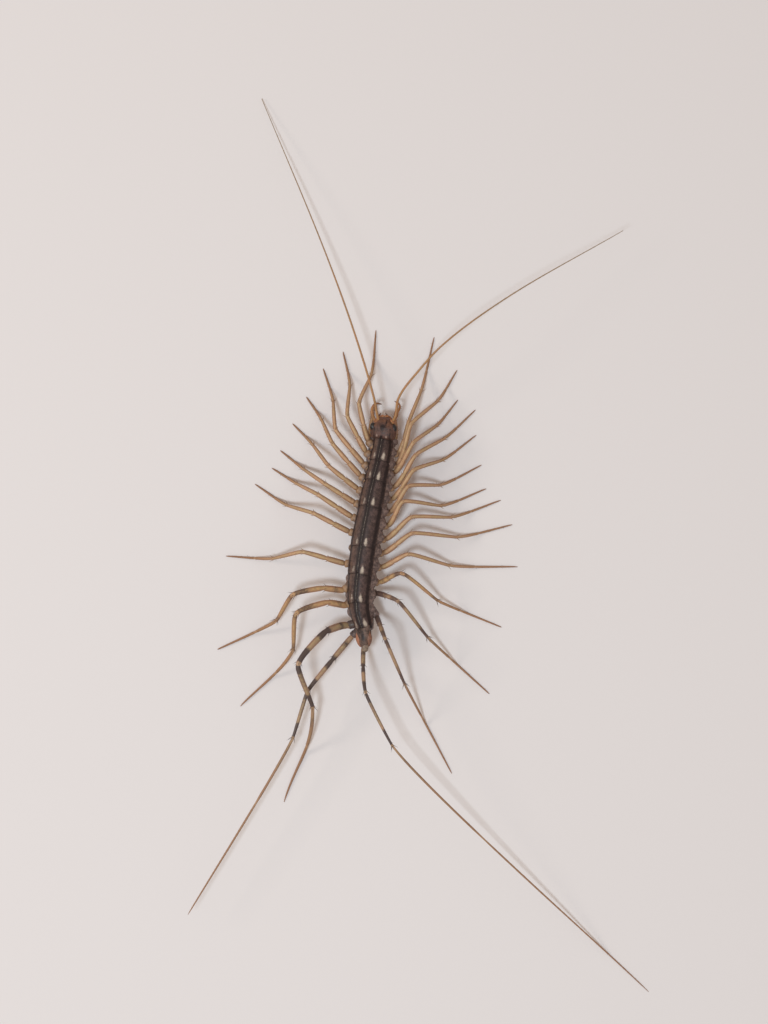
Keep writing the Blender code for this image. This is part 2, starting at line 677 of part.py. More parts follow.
def build():
    clear_scene()
    centipede = bpy.data.objects.new("house_centipede", None)
    bpy.context.scene.collection.objects.link(centipede)
    add_trunk(centipede)
    add_head(centipede)
    add_head_pieces(centipede)
    add_tail(centipede)
    chance = np.random.default_rng(SEED)
    for side, poses in LEGS.items():
        for number in poses:
            add_leg(side, number, centipede, chance)


build()
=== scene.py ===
"""House centipede, a still model at life size: its skin, back plates, limbs and bristles.

Sizes and places are in millimetres and become metres where a mesh is made. Seen
from above, the head points along +Y, the animal's right side lies along +X, and
the floor is Z = 0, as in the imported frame.
"""

import bpy
import numpy as np
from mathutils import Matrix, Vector


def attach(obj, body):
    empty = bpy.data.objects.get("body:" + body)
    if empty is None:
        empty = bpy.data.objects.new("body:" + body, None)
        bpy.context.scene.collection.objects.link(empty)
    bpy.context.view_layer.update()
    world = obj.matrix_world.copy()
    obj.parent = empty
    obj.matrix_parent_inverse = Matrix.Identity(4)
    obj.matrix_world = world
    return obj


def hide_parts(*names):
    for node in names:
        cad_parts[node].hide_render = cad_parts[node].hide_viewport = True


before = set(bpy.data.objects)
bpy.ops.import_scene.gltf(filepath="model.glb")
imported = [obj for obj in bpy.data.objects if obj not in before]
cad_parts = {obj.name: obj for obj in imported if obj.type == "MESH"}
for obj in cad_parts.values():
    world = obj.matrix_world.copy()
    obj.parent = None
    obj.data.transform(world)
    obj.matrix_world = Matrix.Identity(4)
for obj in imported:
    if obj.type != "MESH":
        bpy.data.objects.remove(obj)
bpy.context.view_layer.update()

METRES = 0.001
UP = np.array((0.0, 0.0, 1.0))
LEFT = -1
RIGHT = 1
SIDE_NAMES = {LEFT: "left", RIGHT: "right"}
SEED = 29

# Body line seen from above, from the brow to the end of the tail
SPINE = (
    (-4.45, 16.9),
    (-5.0, 12.4),
    (-6.2, 5.9),
    (-7.5, -2.1),
    (-7.9, -8.0),
    (-7.25, -11.2),
    (-7.15, -13.4),
)
SLOPE_REACH = 0.2
HEAD_REAR_Y = 13.8
TRUNK_FRONT_Y = 14.25
TRUNK_REAR_Y = -11.3
TAIL_FRONT_Y = -10.4

# Trunk: half width over the back plates, height of the ridge and of the belly
WIDEST_Y = 0.7
HALF_WIDTH = 1.72
FRONT_NARROWING = 0.40
REAR_NARROWING = 0.56
TAPER_SPAN = 11.7
RIDGE_HEIGHT = 5.35
RIDGE_FALL = 0.62
BELLY_HEIGHT = 2.4

# Body skin: places round it are sines of the turn, and places along it shares of the way between hips
BODY_ROWS = 480
BODY_SIDES = 64
BODY_ROUNDNESS = 0.8
UPPER_SHARE = 0.76
LOWER_SHARE = 0.26
SKIN_BELOW_RIDGE = 0.28
BELLY_SWELL = 0.06
BODY_END_TAPER = (-0.25, 0.35)
FLANK_REACH = 0.52
FLANK_FADE = 3.0
FLANK_HUMP = (-0.25, 0.45)
FLANK_PULSE = 0.3
FOLD_DEPTH = 0.09
FOLD_HUMP = (0.5, 0.07)
HALF_FOLD_HUMP = (0.27, 0.04)
CREASE_DEPTH = 0.06
CREASE_HUMP = (0.1, 0.09)
HIP_PLATE_HEIGHT = 0.07
HIP_PLATE_ALONG = (0.0, 0.2, 4)
HIP_PLATE_ROUND = (-0.15, 0.2, 4)

# The body leans over to its left, about a line at this height
PIVOT_HEIGHT = 3.3
LEAN_PLACES = (-13.4, -9.0, 9.0, 14.0, 17.0)
LEAN_DEGREES = (10.0, 20.0, 20.0, 12.0, 8.0)
LEAN_SHIFT = 1.05

# Back plates: the rear margin of each, then their common shape
PLATE_REARS = (11.0, 8.4, 5.0, -0.2, -3.8, -7.5, -10.8, -12.7)
PLATE_OVERLAP = 0.55
PLATE_DROP = 1.0
PLATE_CURVE = 2.3
PLATE_LIFT = 0.24
PLATE_NOTCH = 0.16
PLATE_CORNER = 0.10
PLATE_FLARE = 0.05
FIRST_PLATE_FLARE = 0.20
LAST_PLATE_WIDTH = 0.80
LAST_PLATE_PALENESS = 0.62
PLATE_THICKNESS = 0.11
PLATE_RIM = 0.035
PLATE_SIDE_RIM = 0.06
PLATE_REAR_RIM = 0.12
PLATE_CROWN = 0.05
PLATE_COLUMNS = 81
PLATE_ROWS = 57
PLATE_CORNER_DROP = 1.2
PLATE_THINNING = 0.45
UNDERSIDE_SHARE = 0.985
COLUMN_CROWDING = 1.1
ROW_CROWDING = 0.9
FURROW_DEPTH = 0.035
FURROW_WIDTH = 0.09
SLIT_LENGTH = 0.24
SLIT_RISE = 0.05
SLIT_DEPTH = 1.2
SLIT_WIDTH = 0.035
SLIT_LIPS = (0.12, 0.06)

# Marks of a back plate, out from its middle and in front of its rear margin, with left before right
DROP_PLACE = (0.61, 0.66)
DROP_LENGTH = 0.54
DROP_WIDTHS = (0.05, 0.27)
DROP_TAPER = 0.13
DROP_PALENESS = (0.56, 0.86)
DROP_CLEARING = 0.9
# Pale hairline down the middle: partly the plate's own mark, partly a painted highlight of the glints along
# the midline
LINE_WIDTH = 0.03
HAIRLINE_HIGHLIGHT_PALENESS = 0.46
STRIPE_WIDTH = 0.38
STRIPE_DARKNESS = 0.92
EDGE_PLACE = 0.87
EDGE_WIDTH = 0.11
# Dark stripe inside each edge, left then right: the plate's own pigment, with the right one darker as painted
# shade where the edge slopes away from the lamps
EDGE_DARKNESS_AND_SHADE = (0.70, 0.88)
REAR_RIM_MARK = (0.85, 0.09)
FRONT_RIM_MARK = (0.5, 0.5)
GROUND_WARMTH = 0.2
LEFT_WARMTH = 0.32
LEFT_WARMTH_SPAN = (0.25, 0.6)
LEFT_EDGE_CHILL = 0.3
LEFT_EDGE_SPAN = (0.7, 0.9)

# Bristles of a back plate: how many stand on its margins and over it, and their sizes
REAR_BRISTLES = 22
SIDE_BRISTLES = 12
STREWN_BRISTLES = 60
REAR_ROW_END = 0.94
REAR_ROW_BACK = 0.985
SIDE_ROW_PLACE = 0.98
SIDE_ROW_BACK = (0.12, 0.95)
STREWN_ACROSS = 0.9
STREWN_BACK = (0.25, 0.95)
BRISTLE_ROOT_DEPTH = 0.02
BRISTLE_LENGTHS = (0.12, 0.26)
BRISTLE_RADIUS = 0.011
BRISTLE_RISE = 0.45
BRISTLE_SPLAY = 0.9
BRISTLE_DISORDER = 0.12

# Hips: where each leg leaves the trunk, growing further apart towards the tail
LEG_COUNT = 15
HIP_FIRST_Y = 13.6
HIP_STEP = 1.25
HIP_STEP_GROWTH = 0.035
HIP_ROOT_FOREMOST_Y = 13.0
HIP_REACH = {LEFT: 0.45, RIGHT: 1.0}
HIP_ROOT_SHARE = 0.45
HIP_HEIGHT = 3.2
HIP_ROOT_HEIGHT = 3.25
HIP_ADVANCE = {LEFT: 0.4, RIGHT: 0.0}
HIP_FAN = {LEFT: 0.14, RIGHT: 0.02}
FAN_MIDDLE = 7
OWN_HIPS = {
    (LEFT, 1): (-6.35, 13.7, 2.5),
    (RIGHT, 1): (-3.25, 13.75, 2.7),
    (RIGHT, 4): (-3.2, 9.5, 3.0),
    (LEFT, 12): (-9.85, -5.8, 3.2),
    (LEFT, 13): (-9.5, -7.8, 3.2),
    (RIGHT, 13): (-5.5, -6.2, 3.2),
    (RIGHT, 14): (-5.5, -9.25, 3.2),
    (LEFT, 14): (-9.3, -10.4, 3.2),
    (LEFT, 15): (-8.7, -11.8, 2.8),
    (RIGHT, 15): (-7.2, -13.0, 2.7),
}

# Roots of legs that don't grow straight out from the body line
OWN_ROOTS = {
    (LEFT, 14): (-7.9, -10.1, 3.25),
    (RIGHT, 14): (-6.6, -7.5, 3.25),
}

# A leg's end pressed this far under the floor lies flat on it further back
FLAT = -1.5

# Pose of each leg: its knee, its ankle and its tip. Left leg 10 is lost
LEGS = {
    LEFT: {
        1: ((-6.4, 14.9, 1.5), (-6.1, 16.6, 0.8), (-5.7, 18.9, FLAT)),
        2: ((-7.8, 18.5, 3.8), (-6.2, 22.3, 1.2), (-5.6, 28.1, FLAT)),
        3: ((-9.3, 16.8, 4.6), (-9.0, 20.9, 1.3), (-9.9, 25.3, FLAT)),
        4: ((-10.8, 15.0, 4.6), (-11.2, 18.9, 1.3), (-12.5, 23.1, FLAT)),
        5: ((-11.2, 13.2, 4.5), (-12.7, 16.4, 1.3), (-14.7, 19.4, FLAT)),
        6: ((-11.7, 10.3, 4.5), (-13.9, 13.2, 1.3), (-16.5, 15.9, FLAT)),
        7: ((-12.2, 8.0, 4.5), (-15.1, 10.0, 1.3), (-18.1, 12.4, FLAT)),
        8: ((-13.1, 6.6, 4.5), (-16.0, 8.1, 1.3), (-19.2, 10.1, FLAT)),
        9: ((-13.7, 4.2, 4.5), (-17.3, 5.3, 1.3), (-21.4, 8.0, FLAT)),
        11: ((-15.1, -0.8, 4.7), (-19.1, -1.7, 1.5), (-25.2, -1.4, FLAT)),
        12: ((-16.4, -6.4, 5.2), (-18.6, -9.8, 2.2), (-26.3, -13.6, -2.0)),
        13: ((-15.9, -8.8, 6.2), (-16.4, -13.6, 3.0), (-23.3, -21.0, -3.0)),
        14: ((-15.6, -15.3, 8.2), (-13.8, -21.0, 4.6), (-17.6, -33.5, -4.5)),
        15: ((-14.4, -18.8, 4.4), (-16.4, -25.0, 4.3), (-30.0, -47.9, 3.8)),
    },
    RIGHT: {
        1: ((-3.0, 14.9, 1.5), (-3.1, 16.6, 0.8), (-2.7, 18.9, FLAT)),
        2: ((-1.3, 16.2, 3.6), (0.3, 20.2, 1.3), (2.0, 27.2, FLAT)),
        3: ((-1.0, 15.8, 4.9), (2.5, 18.9, 1.5), (5.0, 22.9, FLAT)),
        4: ((-0.7, 13.4, 5.4), (2.4, 15.7, 1.4), (5.1, 19.0, FLAT)),
        5: ((-0.4, 11.8, 4.8), (3.4, 14.0, 1.3), (7.4, 17.7, FLAT)),
        6: ((-0.7, 9.8, 5.0), (3.2, 11.2, 1.3), (7.5, 14.4, FLAT)),
        7: ((-1.4, 7.7, 5.0), (2.9, 7.9, 1.3), (8.2, 10.5, FLAT)),
        8: ((-2.1, 5.7, 5.0), (3.0, 5.2, 1.3), (8.8, 7.4, FLAT)),
        9: ((-1.0, 3.7, 4.5), (4.3, 3.7, 1.4), (10.7, 5.9, FLAT)),
        10: ((-0.9, 1.6, 4.5), (5.1, 1.1, 1.4), (12.2, 2.7, FLAT)),
        11: ((-1.4, -1.1, 4.7), (4.0, -2.6, 1.5), (12.9, -2.8, FLAT)),
        12: ((-2.2, -3.6, 5.2), (2.5, -7.2, 2.2), (10.8, -10.7, -2.0)),
        13: ((-2.7, -7.2, 6.2), (1.2, -12.0, 3.0), (9.2, -19.4, -3.0)),
        14: ((-4.4, -12.0, 8.0), (-1.8, -18.1, 3.9), (4.3, -29.8, -4.5)),
        15: ((-6.9, -19.0, 7.4), (-3.4, -25.9, 7.2), (30.0, -58.3, -1.2)),
    },
}
LOST_LEG = (LEFT, 10)
STUMP_SHARE = 0.8
STUMP_PROFILE = ((0.0, 0.40), (0.4, 0.42), (0.8, 0.34), (0.95, 0.24), (1.0, 0.06))
STUMP_RINGS = 40
STUMP_SIDES = 24

# How freely a limb curves between its joints
SUPPLE = 1.0
FIRST_REAR_LEG = 12
THIGH_GIVE = {LEFT: 0.3, RIGHT: 0.6}
OWN_THIGH_GIVE = {
    (LEFT, 12): 0.4,
    (LEFT, 13): 0.4,
    (LEFT, 14): 0.4,
    (RIGHT, 12): 0.8,
    (RIGHT, 13): 0.5,
    (RIGHT, 14): 0.3,
}
SHIN_GIVE = 0.35
FOOT_GIVE = 0.85
REAR_FOOT_GIVE = 0.45
BOWED_FEET = {(LEFT, 13): 0.9, (LEFT, 14): 1.25}

# The first two joints of a thigh bend up a little where they meet, and some rear ones forward
ELBOW_STATION = 1.46
ELBOW_SHIFT = (0.0, 0.0, 0.25)
OWN_ELBOW_SHIFTS = {
    (LEFT, 12): (0.35, 0.6, 0.2),
    (LEFT, 13): (0.5, 0.9, 0.2),
    (LEFT, 14): (0.3, 1.25, 0.2),
}

# Each leg's first joint is part of the body skin. Its station is noted past this number on a pale leg
WARM_NOTE = 100.0
COXA_RINGS = 26
COXA_SIDES = 26
COXA_PROFILE = ((0.3, 0.34), (0.6, 0.50), (0.86, 0.52), (0.96, 0.43), (1.0, 0.30))

# Thickness along a leg, by station: 0 in the trunk, 1 hip, 2 knee, 3 ankle, 4 tip
LEG_PROFILE = (
    (0.0, 0.42),
    (0.35, 0.46),
    (0.60, 0.44),
    (0.80, 0.45),
    (0.93, 0.38),
    (1.00, 0.29),
    (1.04, 0.34),
    (1.12, 0.37),
    (1.30, 0.375),
    (1.40, 0.36),
    (1.44, 0.31),
    (1.46, 0.25),
    (1.48, 0.30),
    (1.55, 0.33),
    (1.75, 0.30),
    (1.90, 0.27),
    (1.96, 0.28),
    (2.00, 0.21),
    (2.04, 0.24),
    (2.15, 0.26),
    (2.50, 0.25),
    (2.88, 0.20),
    (2.96, 0.22),
    (3.00, 0.16),
    (3.03, 0.18),
    (3.15, 0.19),
    (3.32, 0.17),
    (3.36, 0.175),
    (3.39, 0.135),
    (3.43, 0.15),
    (3.70, 0.12),
    (3.92, 0.085),
    (4.00, 0.035),
)
TARSUS_STATION = 3.39
TARSUS_RINGLETS = 34
TARSUS_RINGING = 0.06
FRONT_LEG_SLIMNESS = 0.95
FULL_SIZE_LEG = 8
OWN_SLIMNESS = {
    (LEFT, 12): 1.1,
    (RIGHT, 12): 0.92,
    (LEFT, 13): 1.15,
    (RIGHT, 13): 0.92,
    (LEFT, 14): 1.28,
    (RIGHT, 14): 0.88,
    (LEFT, 15): 0.95,
    (RIGHT, 15): 0.8,
}
LEG_SIDES = 28
UPPER_LEG_RINGS = 100
TARSUS_RINGS = 150

# Keels along a leg: how many, their height, and the stations where they rise and fade
KEELS = 5
KEEL_HEIGHT = 0.05
KEEL_RISE = (1.02, 1.15)
KEEL_END = 3.4
KEEL_FADE = 0.1

# Spurs at the end of each joint: station, turns round the limb, length and thickness
SPURS = (
    (1.42, (0.08, 0.28, 0.48, 0.75), 0.70, 0.052),
    (1.95, (0.05, 0.25, 0.5, 0.85), 0.80, 0.052),
    (2.95, (0.02, 0.2, 0.42, 0.62, 0.9), 0.85, 0.046),
    (3.34, (0.3, 0.7), 0.5, 0.034),
)
SPUR_SIDES = 6
SPUR_BEND = 0.05
SPUR_DEPTH = 0.05
SPUR_LEAN = 0.75
SPUR_STRAY = 0.02
SPUR_VARIATION = 0.15
FRONT_SPUR_SHARE = 0.75

# Fine hairs of a leg, in two stretches of stations, fewest on its back
UPPER_HAIRS = 60
UPPER_HAIR_SPAN = (1.1, 3.0)
FOOT_HAIRS = 30
FOOT_HAIR_SPAN = (3.0, 3.9)
HAIR_TURN_SPREAD = 1.5
HAIR_LENGTH = 0.34
HAIR_VARIATION = (0.5, 1.3)
HAIR_LEAN = (0.3, 0.9)
FOOT_HAIR_SHARE = 0.6
HAIR_CLEARANCE = 0.06
LOW_HAIR_SHARE = 0.4
HAIR_RADIUS = 0.016
HAIR_SIDES = 3
HAIR_BEND = 0.1
MAP_PATCH = 0.0015

# How deep hairs and spurs are rooted, as a share of the limb's radius, and the step that gives their way
ROOT_SHARE = 0.9
STATION_STEP = 0.01

# Rings of a spur or a hair, as shares of its length. Nothing fine reaches under the least height
THORN_RINGS = (0.0, 0.4, 0.75)
LEAST_HEIGHT = 0.02

# Feelers, from inside the head out to the tip
FEELERS = {
    LEFT: (
        (-5.1, 15.8, 4.1),
        (-5.4, 16.8, 4.4),
        (-5.8, 18.9, 4.9),
        (-7.9, 26.1, 5.3),
        (-11.8, 37.1, 3.8),
        (-20.5, 58.3, 0.3),
    ),
    RIGHT: (
        (-3.7, 15.7, 4.1),
        (-3.1, 16.7, 4.4),
        (-2.7, 19.0, 5.3),
        (0.1, 22.8, 7.0),
        (2.8, 25.7, 8.0),
        (10.5, 31.5, 7.0),
        (26.5, 40.9, 3.7),
    ),
}
FEELER_PROFILE = (
    (0.0, 0.22), (0.04, 0.30), (0.065, 0.24), (0.08, 0.20), (0.3, 0.16), (0.7, 0.115), (1.0, 0.04),
)
FEELER_RINGLETS = 150
FEELER_RINGS = 620
FEELER_SIDES = 10
RINGING = 0.07
RINGING_START = 0.1

# Hairs of small limbs: number, first station, lengths, forward lean, thickness and map margin
FEELER_HAIRS = (260, 1.0, (0.1, 0.2), 0.7, 0.010, 1)
PALP_HAIRS = (46, 1.1, (0.2, 0.42), 0.5, 0.014, 0)
JAW_HAIRS = (44, 1.2, (0.1, 0.24), 0.9, 0.011, 0)
HAIRLESS_END = 0.1

# Mouth feelers and venom claws, from inside the body forward
PALPS = {
    LEFT: ((-5.2, 15.2, 3.2), (-5.75, 16.3, 2.7), (-6.15, 17.5, 3.0), (-5.7, 18.4, 2.6), (-4.8, 18.4, 2.1)),
    RIGHT: ((-3.7, 15.2, 3.2), (-3.2, 16.3, 2.7), (-2.8, 17.3, 3.0), (-2.5, 18.2, 2.6), (-3.2, 18.8, 2.1)),
}
CLAWS = {
    LEFT: ((-5.4, 13.0, 3.1), (-5.5, 13.8, 2.2), (-5.7, 15.2, 2.0), (-5.35, 16.6, 1.9), (-4.95, 17.3, 1.9)),
    RIGHT: ((-4.3, 13.0, 3.1), (-4.2, 13.8, 2.2), (-3.75, 15.2, 2.0), (-3.95, 16.6, 1.9), (-4.4, 17.3, 1.9)),
}
PALP_PROFILE = (
    (0.0, 0.22), (0.9, 0.23), (1.0, 0.17), (1.1, 0.20), (1.95, 0.17),
    (2.0, 0.13), (2.1, 0.16), (2.95, 0.14), (3.0, 0.11), (3.1, 0.13), (3.8, 0.07), (4.0, 0.02),
)
CLAW_PROFILE = (
    (0.0, 0.26), (0.9, 0.32), (1.0, 0.27), (1.1, 0.31), (1.9, 0.28),
    (2.0, 0.22), (2.1, 0.24), (2.9, 0.19), (3.0, 0.15), (3.1, 0.16), (3.7, 0.07), (4.0, 0.015),
)

# Rings and sides of the smaller limbs' meshes
PALP_MESH = (90, 16)
CLAW_MESH = (100, 24)
JAW_MESH = (60, 24)
LOBE_MESH = (50, 32)
EYE_MESH = (64, 44)
LIP_MESH = (40, 24)

# Head: half width, top and underside at shares of its length from rear to brow
HEAD_LENGTH = 2.9
HEAD_SHARES = (0.0, 0.12, 0.32, 0.5, 0.62, 0.74, 0.86, 0.94, 1.0)
HEAD_HALF_WIDTHS = (1.42, 1.60, 1.72, 1.72, 1.52, 1.08, 0.84, 0.74, 0.42)
HEAD_TOPS = (4.78, 4.98, 5.08, 5.10, 5.02, 4.88, 4.70, 4.48, 4.15)
HEAD_UNDERS = (3.05, 2.92, 2.85, 2.85, 2.90, 2.98, 3.10, 3.28, 3.55)
HEAD_SIDES = 72
HEAD_RINGS = 90
HEAD_ROUNDNESS = 0.82
HEAD_END_POWER = 16
HEAD_END_WIDTH = 0.7

# Relief of the head: place and width of each groove and swelling, out from the middle or forward
HEAD_GROOVE_DEPTH = 0.05
MIDDLE_GROOVE = (0.0, 0.06)
MIDDLE_GROOVE_END = 2.0
MARK_FADE = 0.4
FORK_FADE = 0.2
FORK_START = 1.5
FORK_SLOPE = 0.9
FORK_WIDTH = 0.07
COLLAR_GROOVE = (0.28, 0.07)
SOCKET_SWELL = 0.14
SOCKET_OUT = (0.78, 0.3)
SOCKET_FORE = (2.2, 0.35)
BROW_SWELL = 0.08
BROW_OUT = (0.0, 0.4)
BROW_FORE = (2.45, 0.4)

# Marks of the head and the tail: strength, place and reach of each, out from the middle and along
HEAD_PALE = ((0.85, (-0.66, 0.42), (0.09, 0.22)), (0.8, (0.6, 0.32), (0.13, 0.16)))
HEAD_DARK = (
    (1.0, (0.0, 1.55), (0.3, 0.3)),
    (1.0, (0.42, 2.2), (0.09, 0.35)),
    (1.0, (-0.1, 0.2), (0.16, 0.2)),
    (0.8, (0.0, 0.9), (0.12, 0.7)),
)
HEAD_SIDE_STRIPE = (0.7, (1.05, 0.14), 1.7)
HEAD_WARM = ((0.5, (0.0, 2.6), (0.7, 0.45)),)
# Warm cheeks on both sides of the head: partly the head's own orange, partly a painted warm shadow beside the
# head
CHEEK_WARM_AND_SHADOW = ((0.45, (0.95, 2.0), (0.35, 0.35)),)
HEAD_WARMTH = 0.22
UNDER_WARMTH = 0.4
TAIL_PALE = ((0.8, (0.25, 0.5), (0.06, 0.4)),)
TAIL_DARK = ((1.0, (0.0, 1.4), (0.18, 0.5)), (1.0, (-0.35, 0.5), (0.25, 0.4)))
TAIL_WARMTH = 0.1
EYE_PLACES = {LEFT: (-5.98, 15.45, 4.2), RIGHT: (-3.28, 15.2, 4.5)}
EYE_RADII = (0.40, 0.54, 0.46)
JAW = ((0.80, 15.0, 3.1), (0.86, 15.8, 3.0), (0.60, 16.5, 3.0), (0.16, 16.9, 3.05))
JAW_PROFILE = ((0.0, 0.34), (1.0, 0.42), (1.8, 0.34), (2.6, 0.22), (3.0, 0.07))
LIP_PLACE = (0.0, 16.72, 3.62)
LIP_RADII = (0.56, 0.32, 0.24)
LIP_NOTCH = 0.16
LIP_NOTCH_WIDTH = 0.16
SOCKET_STATIONS = {LEFT: 0.37, RIGHT: 0.41}
SOCKET_WIDTH = 0.40
SOCKET_ROUNDNESS = 0.11
SOCKET_SIDES = 48
SOCKET_ROLLS = 12

# Square of the share of its height that the head or tail keeps at its closed ends
END_OPENING = 0.004

# Tail: half width, top and underside at shares of its length
TAIL_LENGTH = 3.0
TAIL_SHARES = (0.0, 0.3, 0.6, 0.85, 1.0)
TAIL_HALF_WIDTHS = (1.10, 0.88, 0.62, 0.46, 0.26)
TAIL_TOPS = (4.75, 4.85, 4.78, 4.60, 4.35)
TAIL_UNDERS = (3.70, 3.80, 3.95, 4.02, 4.10)
TAIL_LOBE = ((0.46, 4.25, -10.9), (0.66, 4.2, -12.0), (0.52, 3.9, -13.15))
TAIL_LOBE_PROFILE = ((0.0, 0.34), (0.9, 0.40), (1.5, 0.31), (1.9, 0.13), (2.0, 0.04))
TAIL_END = ((0.08, 4.25, -12.3), (0.12, 4.1, -13.2), (0.14, 3.9, -13.8))
TAIL_END_PROFILE = ((0.0, 0.40), (1.0, 0.42), (1.6, 0.33), (1.9, 0.2), (2.0, 0.05))
TAIL_SIDES = 48
TAIL_RINGS = 70
TAIL_ROUNDNESS = 0.85
TAIL_END_POWER = 12
TAIL_END_WIDTH = 0.6
TAIL_STEPS = 2.5
TAIL_STEP_HEIGHT = 0.05

# Notes of the tail's left lobe, right lobe and blunt end: how pale, dark and warm they are
LOBE_NOTES = {LEFT: (0.0, 0.1, 0.85), RIGHT: (0.0, 0.3, 0.5)}
END_NOTE = (0.5, 0.2, 0.1)

# Camera straight above, framing this stretch of floor, and the lights round it
VIEW_CENTRE = (-4.55, 4.36)
VIEW_HEIGHT_SPAN = 133.1
FOCUS_HEIGHT = 3.0
CAMERA_HEIGHT = 600.0
SENSOR = 36.0

# Lights: place, size, power in watts and tint
LIGHTS = {
    "key_light": ((-130, -110, 560), 90, 1.66, (0.76, 0.91, 1.0)),
    "second_light": ((-460, 90, 290), 120, 0.67, (0.97, 0.90, 0.78)),
}
SURROUNDINGS_TINT = (1.0, 0.89, 0.78, 1)
SURROUNDINGS_STRENGTH = 0.52
FLOOR_REACH = 3000
FLOOR_TINT = (224, 216, 216)
FLOOR_ROUGHNESS = 0.8


def unit(rows):
    rows = np.asarray(rows, dtype=float)
    return rows / np.linalg.norm(rows, axis=-1, keepdims=True)


def through(points, gives=SUPPLE):
    """A smooth curve through points, read at station 0 for the first, 1 for the next and so on.

    Each stretch is a cubic between two points, which leaves a point along the
    mean of the directions on its two sides. A small give keeps a stretch straight.
    """
    points = np.asarray(points, dtype=float)
    steps = np.diff(points, axis=0)
    lengths = np.linalg.norm(steps, axis=1)
    ways = unit(steps)
    leaves = np.vstack((ways[:1], unit(ways[:-1] + ways[1:]), ways[-1:]))
    gives = np.broadcast_to(gives, lengths.shape)

    def place(stations):
        stations = np.asarray(stations, dtype=float)
        index = np.clip(stations.astype(int), 0, len(steps) - 1)
        t = (stations - index)[..., None]
        reach = (gives * lengths)[index][..., None]
        start = points[index] * (2 * t**3 - 3 * t**2 + 1)
        start = start + leaves[index] * reach * (t**3 - 2 * t**2 + t)
        end = points[index + 1] * (3 * t**2 - 2 * t**3)
        end = end + leaves[index + 1] * reach * (t**3 - t**2)
        return start + end

    return place


def eased(x, knots, values):
    """A smooth reading between knots that never swings past them.

    Each stretch is a cubic whose slope at a knot is the harmonic mean of the
    slopes on its two sides, or zero where they differ in sign.
    """
    x, knots, values = (np.asarray(row, dtype=float) for row in (x, knots, values))
    slopes = np.diff(values) / np.diff(knots)
    before, after = slopes[:-1], slopes[1:]
    agree = before * after > 0
    inner = np.where(agree, 2 * before * after / np.where(agree, before + after, 1), 0)
    tangents = np.concatenate((slopes[:1], inner, slopes[-1:]))
    index = np.clip(np.searchsorted(knots, x) - 1, 0, len(knots) - 2)
    width = (knots[1:] - knots[:-1])[index]
    t = np.clip((x - knots[index]) / width, 0, 1)
    start = values[index] * (2 * t**3 - 3 * t**2 + 1) + tangents[index] * width * (t**3 - 2 * t**2 + t)
    end = values[index + 1] * (3 * t**2 - 2 * t**3) + tangents[index + 1] * width * (t**3 - t**2)
    return start + end


def smooth_step(x, low, high):
    t = np.clip((np.asarray(x, dtype=float) - low) / (high - low), 0, 1)
    return t * t * (3 - 2 * t)


def hump(x, centre, width, power=2):
    """A smooth hump: one at its centre, and e to the minus one at its width from there."""
    return np.exp(-(np.abs((x - centre) / width) ** power))


def boxy(values, roundness):
    """Cosines or sines raised to a power under one, sign kept, which turns a circle into a rounded box."""
    return np.sign(values) * np.abs(values) ** roundness


SPINE_LINE = through(SPINE)(np.linspace(0, len(SPINE) - 1, 400))[::-1]


def spine_x(y):
    return np.interp(y, SPINE_LINE[:, 1], SPINE_LINE[:, 0])


def spine_across(y):
    """The level direction square to the body line at y."""
    y = np.asarray(y, dtype=float)
    slope = (spine_x(y + SLOPE_REACH) - spine_x(y - SLOPE_REACH)) / (2 * SLOPE_REACH)
    return unit(np.stack((np.ones_like(slope), -slope, np.zeros_like(slope)), axis=-1))


def half_width(y):
    narrowing = np.where(y > WIDEST_Y, FRONT_NARROWING, REAR_NARROWING)
    return HALF_WIDTH - narrowing * ((y - WIDEST_Y) / TAPER_SPAN) ** 2


def ridge(y):
    return RIDGE_HEIGHT - RIDGE_FALL * ((y - WIDEST_Y) / TAPER_SPAN) ** 2


def on_body(out, height, y):
    """Points of the body given by their distance out from its middle plane, height and y.

    The section is turned about the pivot line by the lean at y, and then shifted
    so that the back plates stay centred over the body line.
    """
    lean = np.radians(np.interp(y, LEAN_PLACES, LEAN_DEGREES))
    rise = height - PIVOT_HEIGHT
    level = out * np.cos(lean) - rise * np.sin(lean) + LEAN_SHIFT * np.sin(lean)
    raised = out * np.sin(lean) + rise * np.cos(lean)
    centre = np.stack((spine_x(y), y, np.full_like(y, PIVOT_HEIGHT)), axis=-1)
    return centre + spine_across(y) * level[..., None] + UP * raised[..., None]


def off_spine(place, side):
    """A place given by its distance from the body line, its y and its height."""
    out, y, height = place
    return np.array((spine_x(y) + side * out, y, height))


class Shape:
    """Points, four-sided and three-sided faces, and a note of three numbers at each point."""

    def __init__(self, points, quads, triangles, notes):
        self.points = np.asarray(points, dtype=float).reshape(-1, 3)
        self.quads = np.asarray(quads, dtype=int).reshape(-1, 4)
        self.triangles = np.asarray(triangles, dtype=int).reshape(-1, 3)
        self.notes = np.asarray(notes, dtype=float).reshape(-1, 3)


def joined(shapes):
    starts = np.cumsum([0] + [len(shape.points) for shape in shapes[:-1]])
    return Shape(
        np.concatenate([shape.points for shape in shapes]),
        np.concatenate([shape.quads + start for shape, start in zip(shapes, starts)]),
        np.concatenate([shape.triangles + start for shape, start in zip(shapes, starts)]),
        np.concatenate([shape.notes for shape in shapes]),
    )


def facing_out(shape):
    """The same closed shape, with its faces turned over where they pointed inwards.

    Its signed volume is the sum over its triangles of a sixth of the triple product
    of their corners, which is negative where they point inwards.
    """
    halves = (shape.quads[:, :3], shape.quads[:, [0, 2, 3]], shape.triangles)
    corners = shape.points[np.concatenate(halves)]
    if np.sum(corners[:, 0] * np.cross(corners[:, 1], corners[:, 2])) < 0:
        shape.quads, shape.triangles = shape.quads[:, ::-1], shape.triangles[:, ::-1]
    return shape


